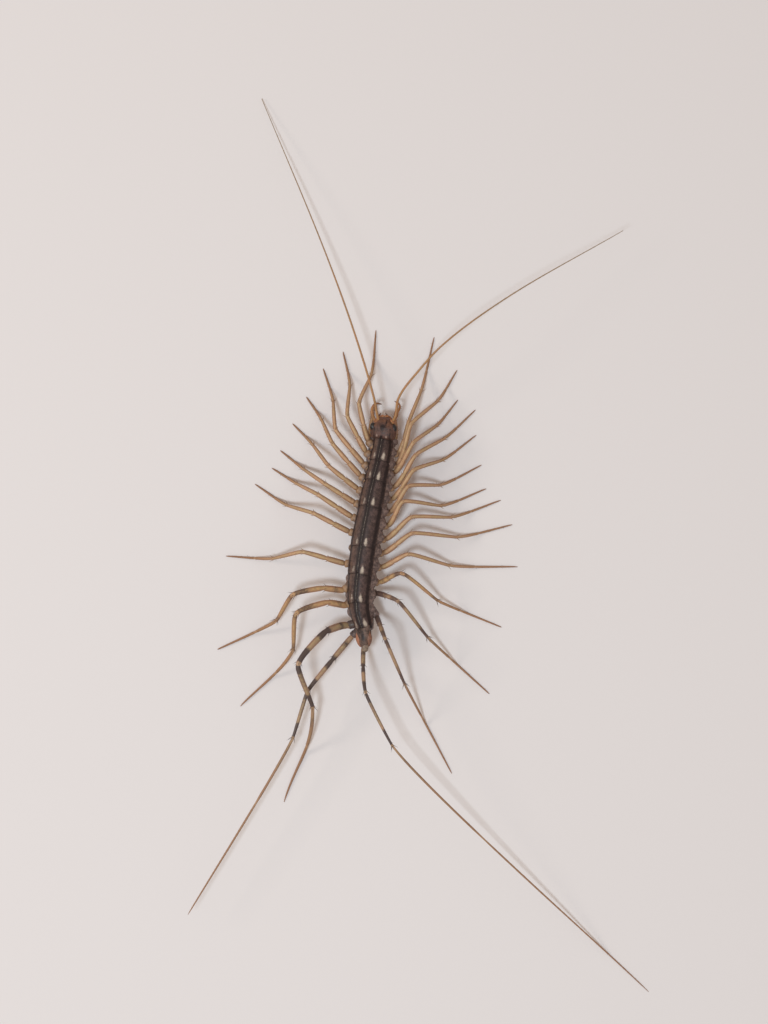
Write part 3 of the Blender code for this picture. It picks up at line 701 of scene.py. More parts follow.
def closed_rings(rings, notes):
    """Skin over rings of equal count, with a fan of triangles to the middle of each end ring."""
    count, sides, _ = rings.shape
    index = np.arange(count * sides).reshape(count, sides)
    near, far = index[:-1], index[1:]
    quads = np.stack((near, np.roll(near, -1, 1), np.roll(far, -1, 1), far), axis=-1).reshape(-1, 4)
    first, last = count * sides, count * sides + 1
    after = np.roll(index, -1, 1)
    front = np.stack((after[0], index[0], np.full(sides, first)), axis=-1)
    back = np.stack((index[-1], after[-1], np.full(sides, last)), axis=-1)
    ends = np.stack((rings[0].mean(0), rings[-1].mean(0)))
    end_notes = np.stack((notes[0].mean(0), notes[-1].mean(0)))
    return facing_out(Shape(
        np.concatenate((rings.reshape(-1, 3), ends)),
        quads,
        np.concatenate((front, back)),
        np.concatenate((notes.reshape(-1, 3), end_notes)),
    ))


def slab(upper, lower, notes):
    """Closed skin over two matching grids, with a band of quads round the rim."""
    rows, columns, _ = upper.shape
    index = np.arange(rows * columns).reshape(rows, columns)
    top = np.stack((index[:-1, :-1], index[:-1, 1:], index[1:, 1:], index[1:, :-1]), -1).reshape(-1, 4)
    under = top[:, ::-1] + rows * columns
    edge = np.concatenate((index[0, :], index[1:, -1], index[-1, -2::-1], index[-2:0:-1, 0]))
    after = np.roll(edge, -1)
    rim = np.stack((after, edge, edge + rows * columns, after + rows * columns), -1)
    quads = np.concatenate((top, under, rim))
    points = np.concatenate((upper.reshape(-1, 3), lower.reshape(-1, 3)))
    return facing_out(Shape(points, quads, np.zeros((0, 3)), np.concatenate((notes.reshape(-1, 3),) * 2)))


def egg(centre, radii, sides, rings):
    """A closed egg shape: latitude circles whose radius is the sine of their tilt."""
    tilt = np.linspace(0, np.pi, rings + 2)[1:-1]
    turns = np.arange(sides) * 2 * np.pi / sides
    balls = np.stack((
        np.sin(tilt)[:, None] * np.cos(turns)[None, :],
        np.sin(tilt)[:, None] * np.sin(turns)[None, :],
        np.repeat(np.cos(tilt)[:, None], sides, axis=1),
    ), axis=-1)
    return closed_rings(np.asarray(centre) + balls * np.asarray(radii), balls)


def frames_along(path):
    """Direction of a path at each point, and a level and a lifted direction square to it."""
    along = unit(np.gradient(path, axis=0))
    level = unit(np.cross(along, UP))
    return along, level, np.cross(level, along)


def tube(path, radii, sides, notes_along, waviness=0.0, waves=0, wave_share=None):
    """A round tube along a path. Its radius swells by a cosine of the turn, which makes keels."""
    _, level, lift = frames_along(path)
    turns = np.arange(sides) * 2 * np.pi / sides
    keel = 1 + waviness * np.cos(waves * (turns - np.pi / 2))[None, :] * (
        np.ones(len(path)) if wave_share is None else wave_share
    )[:, None]
    reach = np.asarray(radii)[:, None] * keel
    ring = np.cos(turns)[None, :, None] * level[:, None] + np.sin(turns)[None, :, None] * lift[:, None]
    rings = path[:, None] + reach[..., None] * ring
    notes = np.stack((
        np.broadcast_to(np.cos(turns)[None, :], reach.shape),
        np.broadcast_to(np.sin(turns)[None, :], reach.shape),
        np.broadcast_to(np.asarray(notes_along)[:, None], reach.shape),
    ), axis=-1)
    return closed_rings(rings, notes)


def thorns(roots, ways, lengths, radii, sides, bend):
    """Many small curved cones at once: three rings that shrink towards a point, bent towards the floor.

    A ring at share t of the length lies t along the way, less bend times t squared
    downwards, with its radius times one less t.
    """
    count = len(roots)
    ways = unit(ways)
    aside = unit(np.cross(ways, np.where(np.abs(ways[:, 2:]) > 0.9, (1.0, 0, 0), (0, 0, 1.0))))
    other = np.cross(ways, aside)
    shares = np.array(THORN_RINGS)
    turns = np.arange(sides) * 2 * np.pi / sides
    ring = np.cos(turns)[:, None] * aside[:, None] + np.sin(turns)[:, None] * other[:, None]
    lengths = np.broadcast_to(lengths, count)
    radii = np.broadcast_to(radii, count)
    middles = roots[:, None] + lengths[:, None, None] * (
        shares[None, :, None] * ways[:, None] - bend * shares[None, :, None] ** 2 * UP
    )
    width = (radii[:, None] * (1 - shares[None, :]))[:, :, None, None]
    rings = middles[:, :, None] + width * ring[:, None]
    tips = roots + lengths[:, None] * (ways - bend * UP)
    each = len(shares) * sides + 1
    points = np.concatenate((rings.reshape(count, -1, 3), tips[:, None]), axis=1).reshape(-1, 3)
    points[:, 2] = np.maximum(points[:, 2], LEAST_HEIGHT)
    index = np.arange(len(shares) * sides).reshape(len(shares), sides)
    near, far = index[:-1], index[1:]
    quads = np.stack((near, np.roll(near, -1, 1), np.roll(far, -1, 1), far), axis=-1).reshape(-1, 4)
    last = index[-1]
    point_fan = np.stack((last, np.roll(last, -1), np.full(sides, each - 1)), axis=-1)
    base = index[0]
    base_fan = np.stack((np.full(sides - 2, base[0]), base[2:], base[1:-1]), axis=-1)
    starts = (np.arange(count) * each)[:, None, None]
    fans = np.concatenate((point_fan, base_fan))
    notes = np.zeros((count, each, 3))
    notes[:, :, 2] = np.append(np.repeat(shares, sides), 1.0)
    return Shape(points, (quads[None] + starts).reshape(-1, 4), (fans[None] + starts).reshape(-1, 3), notes)


def add_piece(name, shape, material, replaced=(), root_spots=None):
    """A mesh of the shape in metres, riding on the body, with its notes as an attribute."""
    mesh = bpy.data.meshes.new(name)
    quads, triangles = shape.quads, shape.triangles
    corners = np.concatenate((quads.reshape(-1), triangles.reshape(-1)))
    sizes = np.concatenate((np.full(len(quads), 4), np.full(len(triangles), 3)))
    mesh.vertices.add(len(shape.points))
    mesh.vertices.foreach_set("co", (shape.points * METRES).astype(np.float32).reshape(-1))
    mesh.loops.add(len(corners))
    mesh.loops.foreach_set("vertex_index", corners.astype(np.int32))
    mesh.polygons.add(len(sizes))
    mesh.polygons.foreach_set("loop_start", (np.cumsum(sizes) - sizes).astype(np.int32))
    mesh.update(calc_edges=True)
    mesh.validate()
    mesh.polygons.foreach_set("use_smooth", np.ones(len(mesh.polygons), dtype=bool))
    notes = mesh.attributes.new("notes", "FLOAT_VECTOR", "POINT")
    notes.data.foreach_set("vector", shape.notes.astype(np.float32).reshape(-1))
    if root_spots is not None:
        spots = mesh.uv_layers.new(name="OFBake")
        loop_points = np.empty(len(mesh.loops), dtype=np.int32)
        mesh.loops.foreach_get("vertex_index", loop_points)
        spots.data.foreach_set("uv", root_spots[loop_points].astype(np.float32).reshape(-1))
    mesh.materials.append(material)
    piece = bpy.data.objects.new(name, mesh)
    bpy.context.scene.collection.objects.link(piece)
    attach(piece, "root")
    if replaced:
        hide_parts(*replaced)
    return piece


class Nodes:
    """Short ways to add nodes to a material or a group and to join them."""

    def __init__(self, tree):
        self.tree = tree

    def add(self, kind, **settings):
        node = self.tree.nodes.new(kind)
        for key, value in settings.items():
            setattr(node, key, value)
        return node

    def feed(self, socket, value):
        if isinstance(value, bpy.types.NodeSocket):
            self.tree.links.new(value, socket)
        else:
            socket.default_value = value

    def maths(self, operation, *values, clamp=False):
        node = self.add("ShaderNodeMath", operation=operation, use_clamp=clamp)
        for socket, value in zip(node.inputs, values):
            self.feed(socket, value)
        return node.outputs[0]

    def mixed(self, share, first, second):
        node = self.add("ShaderNodeMix", data_type="RGBA")
        self.feed(node.inputs["Factor"], share)
        self.feed(node.inputs["A"], first)
        self.feed(node.inputs["B"], second)
        return node.outputs["Result"]

    def laid(self, base, over, mask, depth):
        """One colour laid over another where the mask is, to the given depth."""
        return self.mixed(self.maths("MULTIPLY", mask, depth), base, over)

    def ranged(self, value, low, high, to_low=0.0, to_high=1.0):
        """A value eased from one range into another."""
        node = self.add("ShaderNodeMapRange", interpolation_type="SMOOTHSTEP")
        keys = ("Value", "From Min", "From Max", "To Min", "To Max")
        for key, number in zip(keys, (value, low, high, to_low, to_high)):
            self.feed(node.inputs[key], number)
        return node.outputs["Result"]

    def ramp(self, value, stops):
        """Grey levels at places along 0 to 1."""
        node = self.add("ShaderNodeValToRGB")
        bar = node.color_ramp
        bar.interpolation = "EASE"
        while len(bar.elements) < len(stops):
            bar.elements.new(0.5)
        for element, (place, level) in zip(bar.elements, stops):
            element.position = place
            element.color = (level, level, level, 1)
        self.feed(node.inputs["Fac"], value)
        return node.outputs["Color"]

    def notes(self):
        """The three numbers noted at each point of a piece."""
        source = self.add("ShaderNodeAttribute", attribute_name="notes")
        parts = self.add("ShaderNodeSeparateXYZ")
        self.feed(parts.inputs[0], source.outputs["Vector"])
        return parts.outputs["X"], parts.outputs["Y"], parts.outputs["Z"]

    def group(self, tree, **values):
        node = self.add("ShaderNodeGroup", node_tree=tree)
        for key, value in values.items():
            self.feed(node.inputs[key.replace("_", " ")], value)
        return node.outputs

    def ragged(self, mark, scale, raggedness, softness):
        """The mask of a soft mark, with a ragged edge."""
        values = {"Mark": mark, "Scale": scale, "Raggedness": raggedness, "Softness": softness}
        return self.group(RAGGED_EDGE, **values)["Mask"]

    def noise(self, scale, detail=2.0, roughness=0.5):
        """Noise on Object coordinates, with its scale in features to a metre."""
        node = self.add("ShaderNodeTexNoise")
        self.feed(node.inputs["Vector"], self.add("ShaderNodeTexCoord").outputs["Object"])
        for key, value in (("Scale", scale), ("Detail", detail), ("Roughness", roughness)):
            self.feed(node.inputs[key], value)
        return node.outputs["Fac"]


def new_group(name, inputs, outputs):
    """An empty shader group with named number sockets."""
    tree = bpy.data.node_groups.new(name, "ShaderNodeTree")
    for key, value in inputs.items():
        socket = tree.interface.new_socket(key, in_out="INPUT", socket_type="NodeSocketFloat")
        socket.default_value = value
    for key in outputs:
        tree.interface.new_socket(key, in_out="OUTPUT", socket_type="NodeSocketFloat")
    nodes = Nodes(tree)
    return tree, nodes, nodes.add("NodeGroupInput").outputs, nodes.add("NodeGroupOutput").inputs


def ragged_edge_group():
    """Turns a soft mark into a mask with a ragged edge, by adding noise before the threshold."""
    tree, nodes, given, result = new_group(
        "ragged_edge", {"Mark": 0.0, "Scale": 3000.0, "Raggedness": 0.5, "Softness": 0.2}, ("Mask",)
    )
    noise = nodes.noise(given["Scale"], 3.0, 0.6)
    swing = nodes.maths("MULTIPLY", nodes.maths("SUBTRACT", noise, 0.5), given["Raggedness"])
    value = nodes.maths("ADD", given["Mark"], swing)
    low = nodes.maths("SUBTRACT", 0.5, given["Softness"])
    high = nodes.maths("ADD", 0.5, given["Softness"])
    nodes.feed(result["Mask"], nodes.ranged(value, low, high))
    return tree


def shell_grain_group():
    """Fine grain of a horny surface: small cells for its height, and blotches for its tone."""
    tree, nodes, given, result = new_group(
        "shell_grain", {"Scale": 12000.0, "Blotch Scale": 1500.0}, ("Height", "Tone")
    )
    coordinates = nodes.add("ShaderNodeTexCoord").outputs["Object"]
    cells = nodes.add("ShaderNodeTexVoronoi", feature="SMOOTH_F1")
    nodes.feed(cells.inputs["Vector"], coordinates)
    nodes.feed(cells.inputs["Scale"], given["Scale"])
    rough = nodes.noise(nodes.maths("MULTIPLY", given["Scale"], 0.5), 4.0, 0.65)
    nodes.feed(result["Height"], nodes.maths("ADD", cells.outputs["Distance"], rough))
    nodes.feed(result["Tone"], nodes.noise(given["Blotch Scale"], 4.0, 0.7))
    return tree


def facet_group():
    """Rows of small round lenses, as on a faceted eye."""
    tree, nodes, given, result = new_group("eye_facets", {"Scale": 14000.0}, ("Height",))
    coordinates = nodes.add("ShaderNodeTexCoord").outputs["Object"]
    cells = nodes.add("ShaderNodeTexVoronoi", feature="F1")
    nodes.feed(cells.inputs["Vector"], coordinates)
    nodes.feed(cells.inputs["Scale"], given["Scale"])
    cells.inputs["Randomness"].default_value = 0.25
    nodes.feed(result["Height"], nodes.maths("SUBTRACT", 1.0, cells.outputs["Distance"]))
    return tree


RAGGED_EDGE = ragged_edge_group()
SHELL_GRAIN = shell_grain_group()
FACETS = facet_group()


def new_material(name, specular):
    material = bpy.data.materials.new(name)
    material.use_nodes = True
    nodes = Nodes(material.node_tree)
    shader = material.node_tree.nodes["Principled BSDF"]
    shader.inputs["Specular IOR Level"].default_value = specular
    return material, nodes, shader


def add_bump(nodes, shader, height, strength, distance):
    bump = nodes.add("ShaderNodeBump")
    bump.inputs["Strength"].default_value = strength
    bump.inputs["Distance"].default_value = distance * METRES
    nodes.feed(bump.inputs["Height"], height)
    nodes.feed(shader.inputs["Normal"], bump.outputs["Normal"])


def colour(red, green, blue):
    """A colour seen as red, green and blue of 0 to 255, as linear light."""
    seen = np.array((red, green, blue)) / 255
    light = np.where(seen <= 0.04045, seen / 12.92, ((seen + 0.055) / 1.055) ** 2.4)
    return (*light.tolist(), 1.0)


def tinted(shade, red, green, blue):
    return (shade[0] * red, shade[1] * green, shade[2] * blue, 1.0)


def plate_material(name, ground, pale, dark, warm):
    """Dark mottled shell with pale drops, dark stripes and warm blotches.

    The notes hold the pale mark, the dark mark and the warm mark at each point.
    Fine dark speckles and warm flecks are laid on where no mark is.
    """
    material, nodes, shader = new_material(name, specular=0.24)
    pale_mark, dark_mark, warm_mark = nodes.notes()
    grain = nodes.group(SHELL_GRAIN, Scale=9000.0, Blotch_Scale=1700.0)
    deep, light = tinted(ground, 0.6, 0.6, 0.6), tinted(ground, 1.35, 1.35, 1.35)
    base = nodes.mixed(nodes.ranged(grain["Tone"], 0.38, 0.64), deep, light)
    base = nodes.laid(base, warm, nodes.ragged(warm_mark, 2600.0, 1.2, 0.35), 0.55)
    base = nodes.laid(base, dark, nodes.ragged(dark_mark, 3400.0, 1.5, 0.3), 0.9)
    base = nodes.laid(base, dark, nodes.ragged(0.28, 6500.0, 1.6, 0.16), 0.7)
    base = nodes.laid(base, warm, nodes.ragged(0.16, 5200.0, 1.7, 0.12), 0.5)
    base = nodes.laid(base, pale, nodes.ragged(pale_mark, 3600.0, 0.8, 0.3), 0.85)
    nodes.feed(shader.inputs["Base Color"], base)
    nodes.feed(shader.inputs["Roughness"], nodes.ranged(grain["Tone"], 0.3, 0.7, 0.42, 0.6))
    add_bump(nodes, shader, grain["Height"], 0.35, 0.02)
    return material


# How far a limb turns to the colour of its tip and of its joints, by share of the way to the tip
TIP_SHARES = ((0.0, 0.0), (0.55, 0.05), (0.74, 0.35), (0.86, 0.75), (1.0, 1.0))
JOINT_SHARES = (
    (0.0, 0), (0.235, 0), (0.25, 0.9), (0.27, 0), (0.485, 0), (0.5, 0.9), (0.515, 0),
    (0.735, 0), (0.75, 0.8), (0.765, 0), (0.84, 0), (0.8475, 0.5), (0.855, 0),
)
LAST_STATION = 4.0


def limb_material(name, body, dark, tip, joint, bands, band_depth, streak_depth):
    """A limb's horny skin: olive down its back and orange at its sides, browner towards the tip.

    Dark bands cross it, and a dark streak runs along each side of its back.

    The notes hold the cosine and sine of the turn round the limb and the station
    along it, which is divided by the last station for the ramps.
    """
    material, nodes, shader = new_material(name, specular=0.4)
    side, back, station = nodes.notes()
    share = nodes.maths("DIVIDE", station, LAST_STATION)
    band_mask = nodes.ragged(nodes.ramp(share, bands), 3800.0, 0.7, 0.25)
    grain = nodes.group(SHELL_GRAIN, Scale=12000.0, Blotch_Scale=2600.0)
    gloom = nodes.maths("SUBTRACT", 1.0, nodes.ranged(grain["Tone"], 0.3, 0.7))
    off_middle = nodes.maths("ABSOLUTE", side)
    drift = nodes.maths("MULTIPLY", nodes.ranged(nodes.noise(520.0), 0.38, 0.62), 0.5)
    flush = nodes.maths("MULTIPLY_ADD", nodes.ranged(off_middle, 0.2, 0.9), 0.6, drift)
    base = nodes.mixed(flush, tinted(body, 0.96, 0.98, 0.88), tinted(body, 1.12, 0.94, 0.98))
    base = nodes.laid(base, dark, gloom, 0.32)
    streak = nodes.maths("MULTIPLY", nodes.ranged(off_middle, 0.42, 0.72), nodes.ranged(back, -0.1, 0.3))
    streak = nodes.maths("MULTIPLY", streak, nodes.ranged(off_middle, 0.98, 0.82))
    streak = nodes.maths("MULTIPLY", streak, nodes.ranged(grain["Tone"], 0.3, 0.6, 0.4, 1.0))
    base = nodes.laid(base, dark, streak, streak_depth)
    base = nodes.mixed(nodes.ramp(share, TIP_SHARES), base, tip)
    base = nodes.laid(base, joint, nodes.ramp(share, JOINT_SHARES), 0.7)
    base = nodes.laid(base, dark, band_mask, band_depth)
    nodes.feed(shader.inputs["Base Color"], base)
    nodes.feed(shader.inputs["Roughness"], nodes.ranged(grain["Tone"], 0.3, 0.7, 0.38, 0.58))
    add_bump(nodes, shader, grain["Height"], 0.3, 0.012)
    return material


def plain_shell_material(name, ground, second, scale, roughness=0.5, warm=None):
    """Skin between the plates: two tones in blotches, with fine creases.

    Where the third note passes WARM_NOTE, at pale legs' first joints, the skin
    turns to the warm colour.
    """
    material, nodes, shader = new_material(name, specular=0.35)
    grain = nodes.group(SHELL_GRAIN, Scale=7000.0, Blotch_Scale=scale)
    tone = nodes.ranged(grain["Tone"], 0.36, 0.64)
    base = nodes.mixed(tone, ground, second)
    if warm:
        _, _, place = nodes.notes()
        warmth = nodes.ranged(place, WARM_NOTE + 0.35, WARM_NOTE + 0.9, 0.0, 0.85)
        base = nodes.laid(base, warm, warmth, nodes.ranged(tone, 0.0, 1.0, 0.7, 1.0))
    nodes.feed(shader.inputs["Base Color"], base)
    gloss = nodes.ranged(grain["Tone"], 0.3, 0.7, roughness - 0.08, roughness + 0.1)
    nodes.feed(shader.inputs["Roughness"], gloss)
    add_bump(nodes, shader, grain["Height"], 0.5, 0.025)
    return material


def eye_material():
    material, nodes, shader = new_material("eye_black", specular=0.6)
    lenses = nodes.group(FACETS, Scale=13000.0)
    tone = nodes.ranged(lenses["Height"], 0.3, 1.0)
    nodes.feed(shader.inputs["Base Color"], nodes.mixed(tone, colour(14, 10, 12), colour(44, 33, 36)))
    nodes.feed(shader.inputs["Roughness"], nodes.ranged(lenses["Height"], 0.2, 1.0, 0.45, 0.2))
    add_bump(nodes, shader, lenses["Height"], 0.5, 0.03)
    return material


def bristle_material():
    """Brown bristles that pale towards their points. The third note is the share of the length."""
    material, nodes, shader = new_material("bristle_brown", specular=0.3)
    _, _, share = nodes.notes()
    base = nodes.mixed(share, colour(62, 44, 36), colour(120, 92, 66))
    grain = nodes.group(SHELL_GRAIN, Scale=15000.0, Blotch_Scale=2500.0)
    base = nodes.mixed(nodes.ranged(grain["Tone"], 0.4, 0.8), base, colour(48, 33, 28))
    nodes.feed(shader.inputs["Base Color"], base)
    nodes.feed(shader.inputs["Roughness"], nodes.ranged(grain["Tone"], 0.3, 0.7, 0.4, 0.55))
    return material


SHELL_GROUND = colour(78, 60, 57)
SHELL_PALE = colour(196, 178, 162)
SHELL_DARK = colour(33, 22, 22)
SHELL_WARM = colour(128, 100, 84)
STRAW = colour(198, 163, 127)
STRAW_DARK = colour(112, 80, 60)
BAND_DARK = colour(56, 45, 52)
TIP_BROWN = colour(146, 104, 76)
JOINT_TAN = colour(192, 154, 122)
SANDY = colour(178, 150, 120)
TAWNY = colour(196, 156, 114)
AMBER = colour(174, 130, 87)

# Bands along a limb: its share of the way to the tip and how dark it is there
FRONT_BANDS = (
    (0.0, 0.9), (0.21, 0.9), (0.255, 0.8), (0.29, 0.4), (0.35, 0.35), (0.365, 0.1),
    (0.40, 0.25), (0.46, 0.4), (0.5, 0.1), (0.56, 0.3), (0.66, 0.1), (0.72, 0.4), (0.75, 0.0), (1.0, 0.0),
)
SANDY_BANDS = (
    (0.0, 0.9), (0.21, 0.85), (0.245, 0.6), (0.262, 0.1), (0.29, 0.3), (0.31, 0.5), (0.34, 0.3), (0.365, 0.1),
    (0.40, 0.3), (0.44, 0.65), (0.475, 0.6), (0.495, 0.0), (0.53, 0.6), (0.56, 0.4), (0.62, 0.1), (0.66, 0.2),
    (0.70, 0.55), (0.735, 0.5), (0.75, 0.0), (0.78, 0.3), (1.0, 0.0),
)
DARK_BANDS = (
    (0.0, 0.9), (0.21, 0.8), (0.245, 0.5), (0.262, 0.15), (0.285, 0.25), (0.303, 0.62), (0.32, 0.3),
    (0.345, 0.3), (0.362, 0.85), (0.383, 0.8), (0.40, 0.2), (0.425, 0.15), (0.445, 0.9), (0.48, 1.0),
    (0.492, 0.1), (0.50, 0.0), (0.515, 0.9), (0.545, 0.85), (0.57, 0.45), (0.62, 0.4), (0.645, 0.1),
    (0.67, 0.8), (0.72, 0.9), (0.738, 0.1), (0.75, 0.0), (0.775, 0.4), (0.82, 0.2), (0.86, 0.1), (1.0, 0.0),
)
DUSKY_BANDS = (
    (0.0, 0.9), (0.25, 0.85), (0.33, 0.8), (0.36, 0.5), (0.40, 0.35), (0.43, 0.7), (0.475, 0.6), (0.495, 0.1),
    (0.52, 0.75), (0.55, 0.6), (0.575, 0.2), (0.62, 0.15), (0.65, 0.45), (0.69, 0.75), (0.73, 0.6),
    (0.75, 0.0), (0.78, 0.35), (0.9, 0.1), (1.0, 0.0),
)

plate_shell = plate_material("plate_shell", SHELL_GROUND, SHELL_PALE, SHELL_DARK, SHELL_WARM)
head_shell = plate_material(
    "head_shell", colour(88, 63, 57), colour(172, 148, 136), SHELL_DARK, colour(128, 84, 60),
)
tail_shell = plate_material(
    "tail_shell", colour(98, 78, 70), colour(170, 150, 130), SHELL_DARK, colour(204, 134, 100),
)
flank_skin = plain_shell_material(
    "flank_skin", colour(76, 62, 60), colour(132, 108, 100), 2600.0, warm=colour(170, 132, 98),
)
front_leg = limb_material("front_leg", STRAW, STRAW_DARK, TIP_BROWN, JOINT_TAN, FRONT_BANDS, 0.62, 0.7)
sandy_leg = limb_material("sandy_leg", TAWNY, BAND_DARK, TIP_BROWN, JOINT_TAN, SANDY_BANDS, 0.75, 0.4)
banded_leg = limb_material("banded_leg", SANDY, BAND_DARK, TIP_BROWN, JOINT_TAN, DARK_BANDS, 0.85, 0.4)
dusky_leg = limb_material(
    "dusky_leg", SANDY, colour(72, 54, 56), TIP_BROWN, JOINT_TAN, DUSKY_BANDS, 0.85, 0.4,
)
LEG_LOOKS = {
    (LEFT, 12): sandy_leg,
    (RIGHT, 12): sandy_leg,
    (LEFT, 13): sandy_leg,
    (RIGHT, 13): dusky_leg,
    (LEFT, 14): banded_leg,
    (RIGHT, 14): dusky_leg,
    (LEFT, 15): banded_leg,
    (RIGHT, 15): banded_leg,
}
feeler_skin = limb_material(
    "feeler_skin", AMBER, colour(116, 80, 54), colour(146, 122, 98), colour(172, 128, 86),
    ((0.0, 0.2), (0.3, 0.1), (1.0, 0.0)), 0.4, 0.3,
)
claw_skin = limb_material(
    "claw_skin", colour(182, 116, 70), colour(96, 60, 40), colour(40, 24, 20), colour(190, 140, 98),
    ((0.0, 0.1), (0.7, 0.1), (0.82, 0.7), (1.0, 1.0)), 0.9, 0.25,
)
palp_skin = limb_material(
    "palp_skin", colour(190, 138, 92), colour(112, 76, 52), colour(122, 82, 64), colour(198, 150, 108),
    ((0.0, 0.1), (0.7, 0.1), (1.0, 0.2)), 0.5, 0.3,
)
mouth_skin = plain_shell_material("mouth_skin", colour(132, 78, 50), colour(182, 124, 84), 2500.0, 0.4)
eye_black = eye_material()
bristle_brown = bristle_material()


def spot(out, fore, centre, lengths):
    """A round mark: one at its centre, falling to a half at the given lengths from it."""
    return 0.5 ** (((out - centre[0]) / lengths[0]) ** 2 + ((fore - centre[1]) / lengths[1]) ** 2)


def marked(out, fore, table):
    """The sum of the spots that a table names, each times its strength."""
    return sum(strength * spot(out, fore, centre, reach) for strength, centre, reach in table)


def plate_marks(out, behind, length, share):
    """Pale, dark and warm marks of a back plate.

    The pale mark is a drop on each side of the middle, whose width shrinks forward
    from the rear margin, and a hairline down the middle, partly a painted highlight
    along the midline. The dark mark is a broad stripe under that hairline, a stripe
    inside each edge, darker on the right where it is partly painted shade, and a
    thin rim. The warm mark fills the space between the left drop and the edge.
    """
    wide = np.clip(DROP_WIDTHS[1] - DROP_TAPER * behind, *DROP_WIDTHS)
    drop = spot(np.abs(out), behind, DROP_PLACE, (wide, DROP_LENGTH))
    pale = drop * np.where(out > 0, DROP_PALENESS[1], DROP_PALENESS[0])
    # Pale hairline, partly a painted highlight along the midline
    line = 0.5 ** ((out / LINE_WIDTH) ** 2) * HAIRLINE_HIGHLIGHT_PALENESS
    middle = 0.5 ** ((np.abs(out) / STRIPE_WIDTH) ** 4) * STRIPE_DARKNESS
    # Edge stripes: own pigment, darker on the right as painted shade
    edge = 0.5 ** (((np.abs(share) - EDGE_PLACE) / EDGE_WIDTH) ** 2)
    edge = edge * np.where(out > 0, EDGE_DARKNESS_AND_SHADE[1], EDGE_DARKNESS_AND_SHADE[0])
    rims = ((REAR_RIM_MARK, behind), (FRONT_RIM_MARK, length - behind))
    rim = sum(darkness * 0.5 ** ((away / breadth) ** 2) for (darkness, breadth), away in rims)
    dark = np.maximum(np.maximum(middle, edge), rim) * (1 - DROP_CLEARING * drop)
    warm = GROUND_WARMTH + LEFT_WARMTH * smooth_step(-share, *LEFT_WARMTH_SPAN)
    warm = warm - LEFT_EDGE_CHILL * smooth_step(-share, *LEFT_EDGE_SPAN)
    return np.stack((np.maximum(pale, line), dark, warm), axis=-1)


def plate_places(front_y, rear_y, width_share, front_flare, across, back):
    """Distance out, height and y of places on a back plate, and their share of its half width.

    Across, the height falls by a power of the distance from the middle. Along, it
    lifts from front to rear, the rear margin is hollowed in the middle and the
    corners are rounded. A low rim runs round the plate, a furrow down its middle,
    and a slit with raised lips lies at the middle of the rear margin.
    """
    hollow = PLATE_NOTCH * (1 - across**2) ** 2 - PLATE_CORNER * PLATE_CORNER_DROP * across**6
    ys = front_y + (rear_y - front_y) * back + np.clip((back - 0.5) * 2, 0, 1) ** 2 * hollow
    corner = 1 + PLATE_FLARE * back**3 - PLATE_CORNER * np.abs(2 * back - 1) ** 10
    corner = corner + front_flare * (1 - back) ** 2
    share = across * corner
    out = share * half_width(ys) * width_share
    behind = (back - 1) * (rear_y - front_y)
    rim = hump(np.abs(across), 1, PLATE_SIDE_RIM) + hump(behind, 0, PLATE_REAR_RIM)
    height = ridge(ys) - PLATE_DROP * np.abs(across) ** PLATE_CURVE + PLATE_LIFT * (back - 0.5)
    height = height + PLATE_RIM * np.clip(rim, 0, 1)
    height = height + PLATE_CROWN * np.sin(np.pi * back) * np.cos(np.pi / 2 * across)
    height = height - FURROW_DEPTH * hump(out, 0, FURROW_WIDTH)
    slit_zone = hump(behind, SLIT_LENGTH, SLIT_LENGTH, 4)
    lips = hump(np.abs(out), *SLIT_LIPS) - SLIT_DEPTH * hump(out, 0, SLIT_WIDTH)
    return out, height + SLIT_RISE * slit_zone * lips, ys, share, behind


def back_plate(front_y, rear_y, width_share, front_flare):
    """One back plate as a closed slab over its places, with a wall that thins to the edges."""
    across = np.linspace(-1, 1, PLATE_COLUMNS)[None, :]
    across = np.sign(across) * np.abs(across) ** COLUMN_CROWDING
    back = np.linspace(0, 1, PLATE_ROWS)[:, None] ** ROW_CROWDING
    out, height, ys, share, behind = plate_places(front_y, rear_y, width_share, front_flare, across, back)
    wall = PLATE_THICKNESS * (1 - PLATE_THINNING * np.abs(across) ** 4)
    upper = on_body(out, height, ys)
    lower = on_body(out * UNDERSIDE_SHARE, height - wall, ys)
    notes = plate_marks(out, behind + 0 * out, front_y - rear_y, share)
    return slab(upper, lower, notes)


def plate_bristles(front_y, rear_y, width_share, front_flare, number, chance):
    """Roots, ways, lengths, thicknesses and map places of a plate's bristles.

    They stand in a row along the rear margin and each side, and are strewn over the rest.
    """
    rear_row = np.linspace(-REAR_ROW_END, REAR_ROW_END, REAR_BRISTLES)
    side_row = np.linspace(*SIDE_ROW_BACK, SIDE_BRISTLES)
    sides = np.repeat((-SIDE_ROW_PLACE, SIDE_ROW_PLACE), SIDE_BRISTLES)
    strewn_across = chance.uniform(-STREWN_ACROSS, STREWN_ACROSS, STREWN_BRISTLES)
    strewn_back = chance.uniform(*STREWN_BACK, STREWN_BRISTLES)
    across = np.concatenate((rear_row, sides, strewn_across))
    back = np.concatenate((np.full(REAR_BRISTLES, REAR_ROW_BACK), side_row, side_row, strewn_back))
    out, height, ys, _, _ = plate_places(front_y, rear_y, width_share, front_flare, across, back)
    roots = on_body(out, height - BRISTLE_ROOT_DEPTH, ys)
    sideways = spine_across(ys)
    rearward = np.stack((sideways[:, 1], -sideways[:, 0], np.zeros(len(ys))), axis=-1)
    ways = rearward + BRISTLE_RISE * UP + across[:, None] ** 3 * BRISTLE_SPLAY * sideways
    ways = ways + chance.normal(0, BRISTLE_DISORDER, ways.shape)
    lengths = chance.uniform(*BRISTLE_LENGTHS, len(ys))
    spots = np.stack(((across + 1) / 2, (number - 1 + back) / len(PLATE_REARS)), axis=-1)
    return roots, ways, lengths, np.full(len(ys), BRISTLE_RADIUS), spots


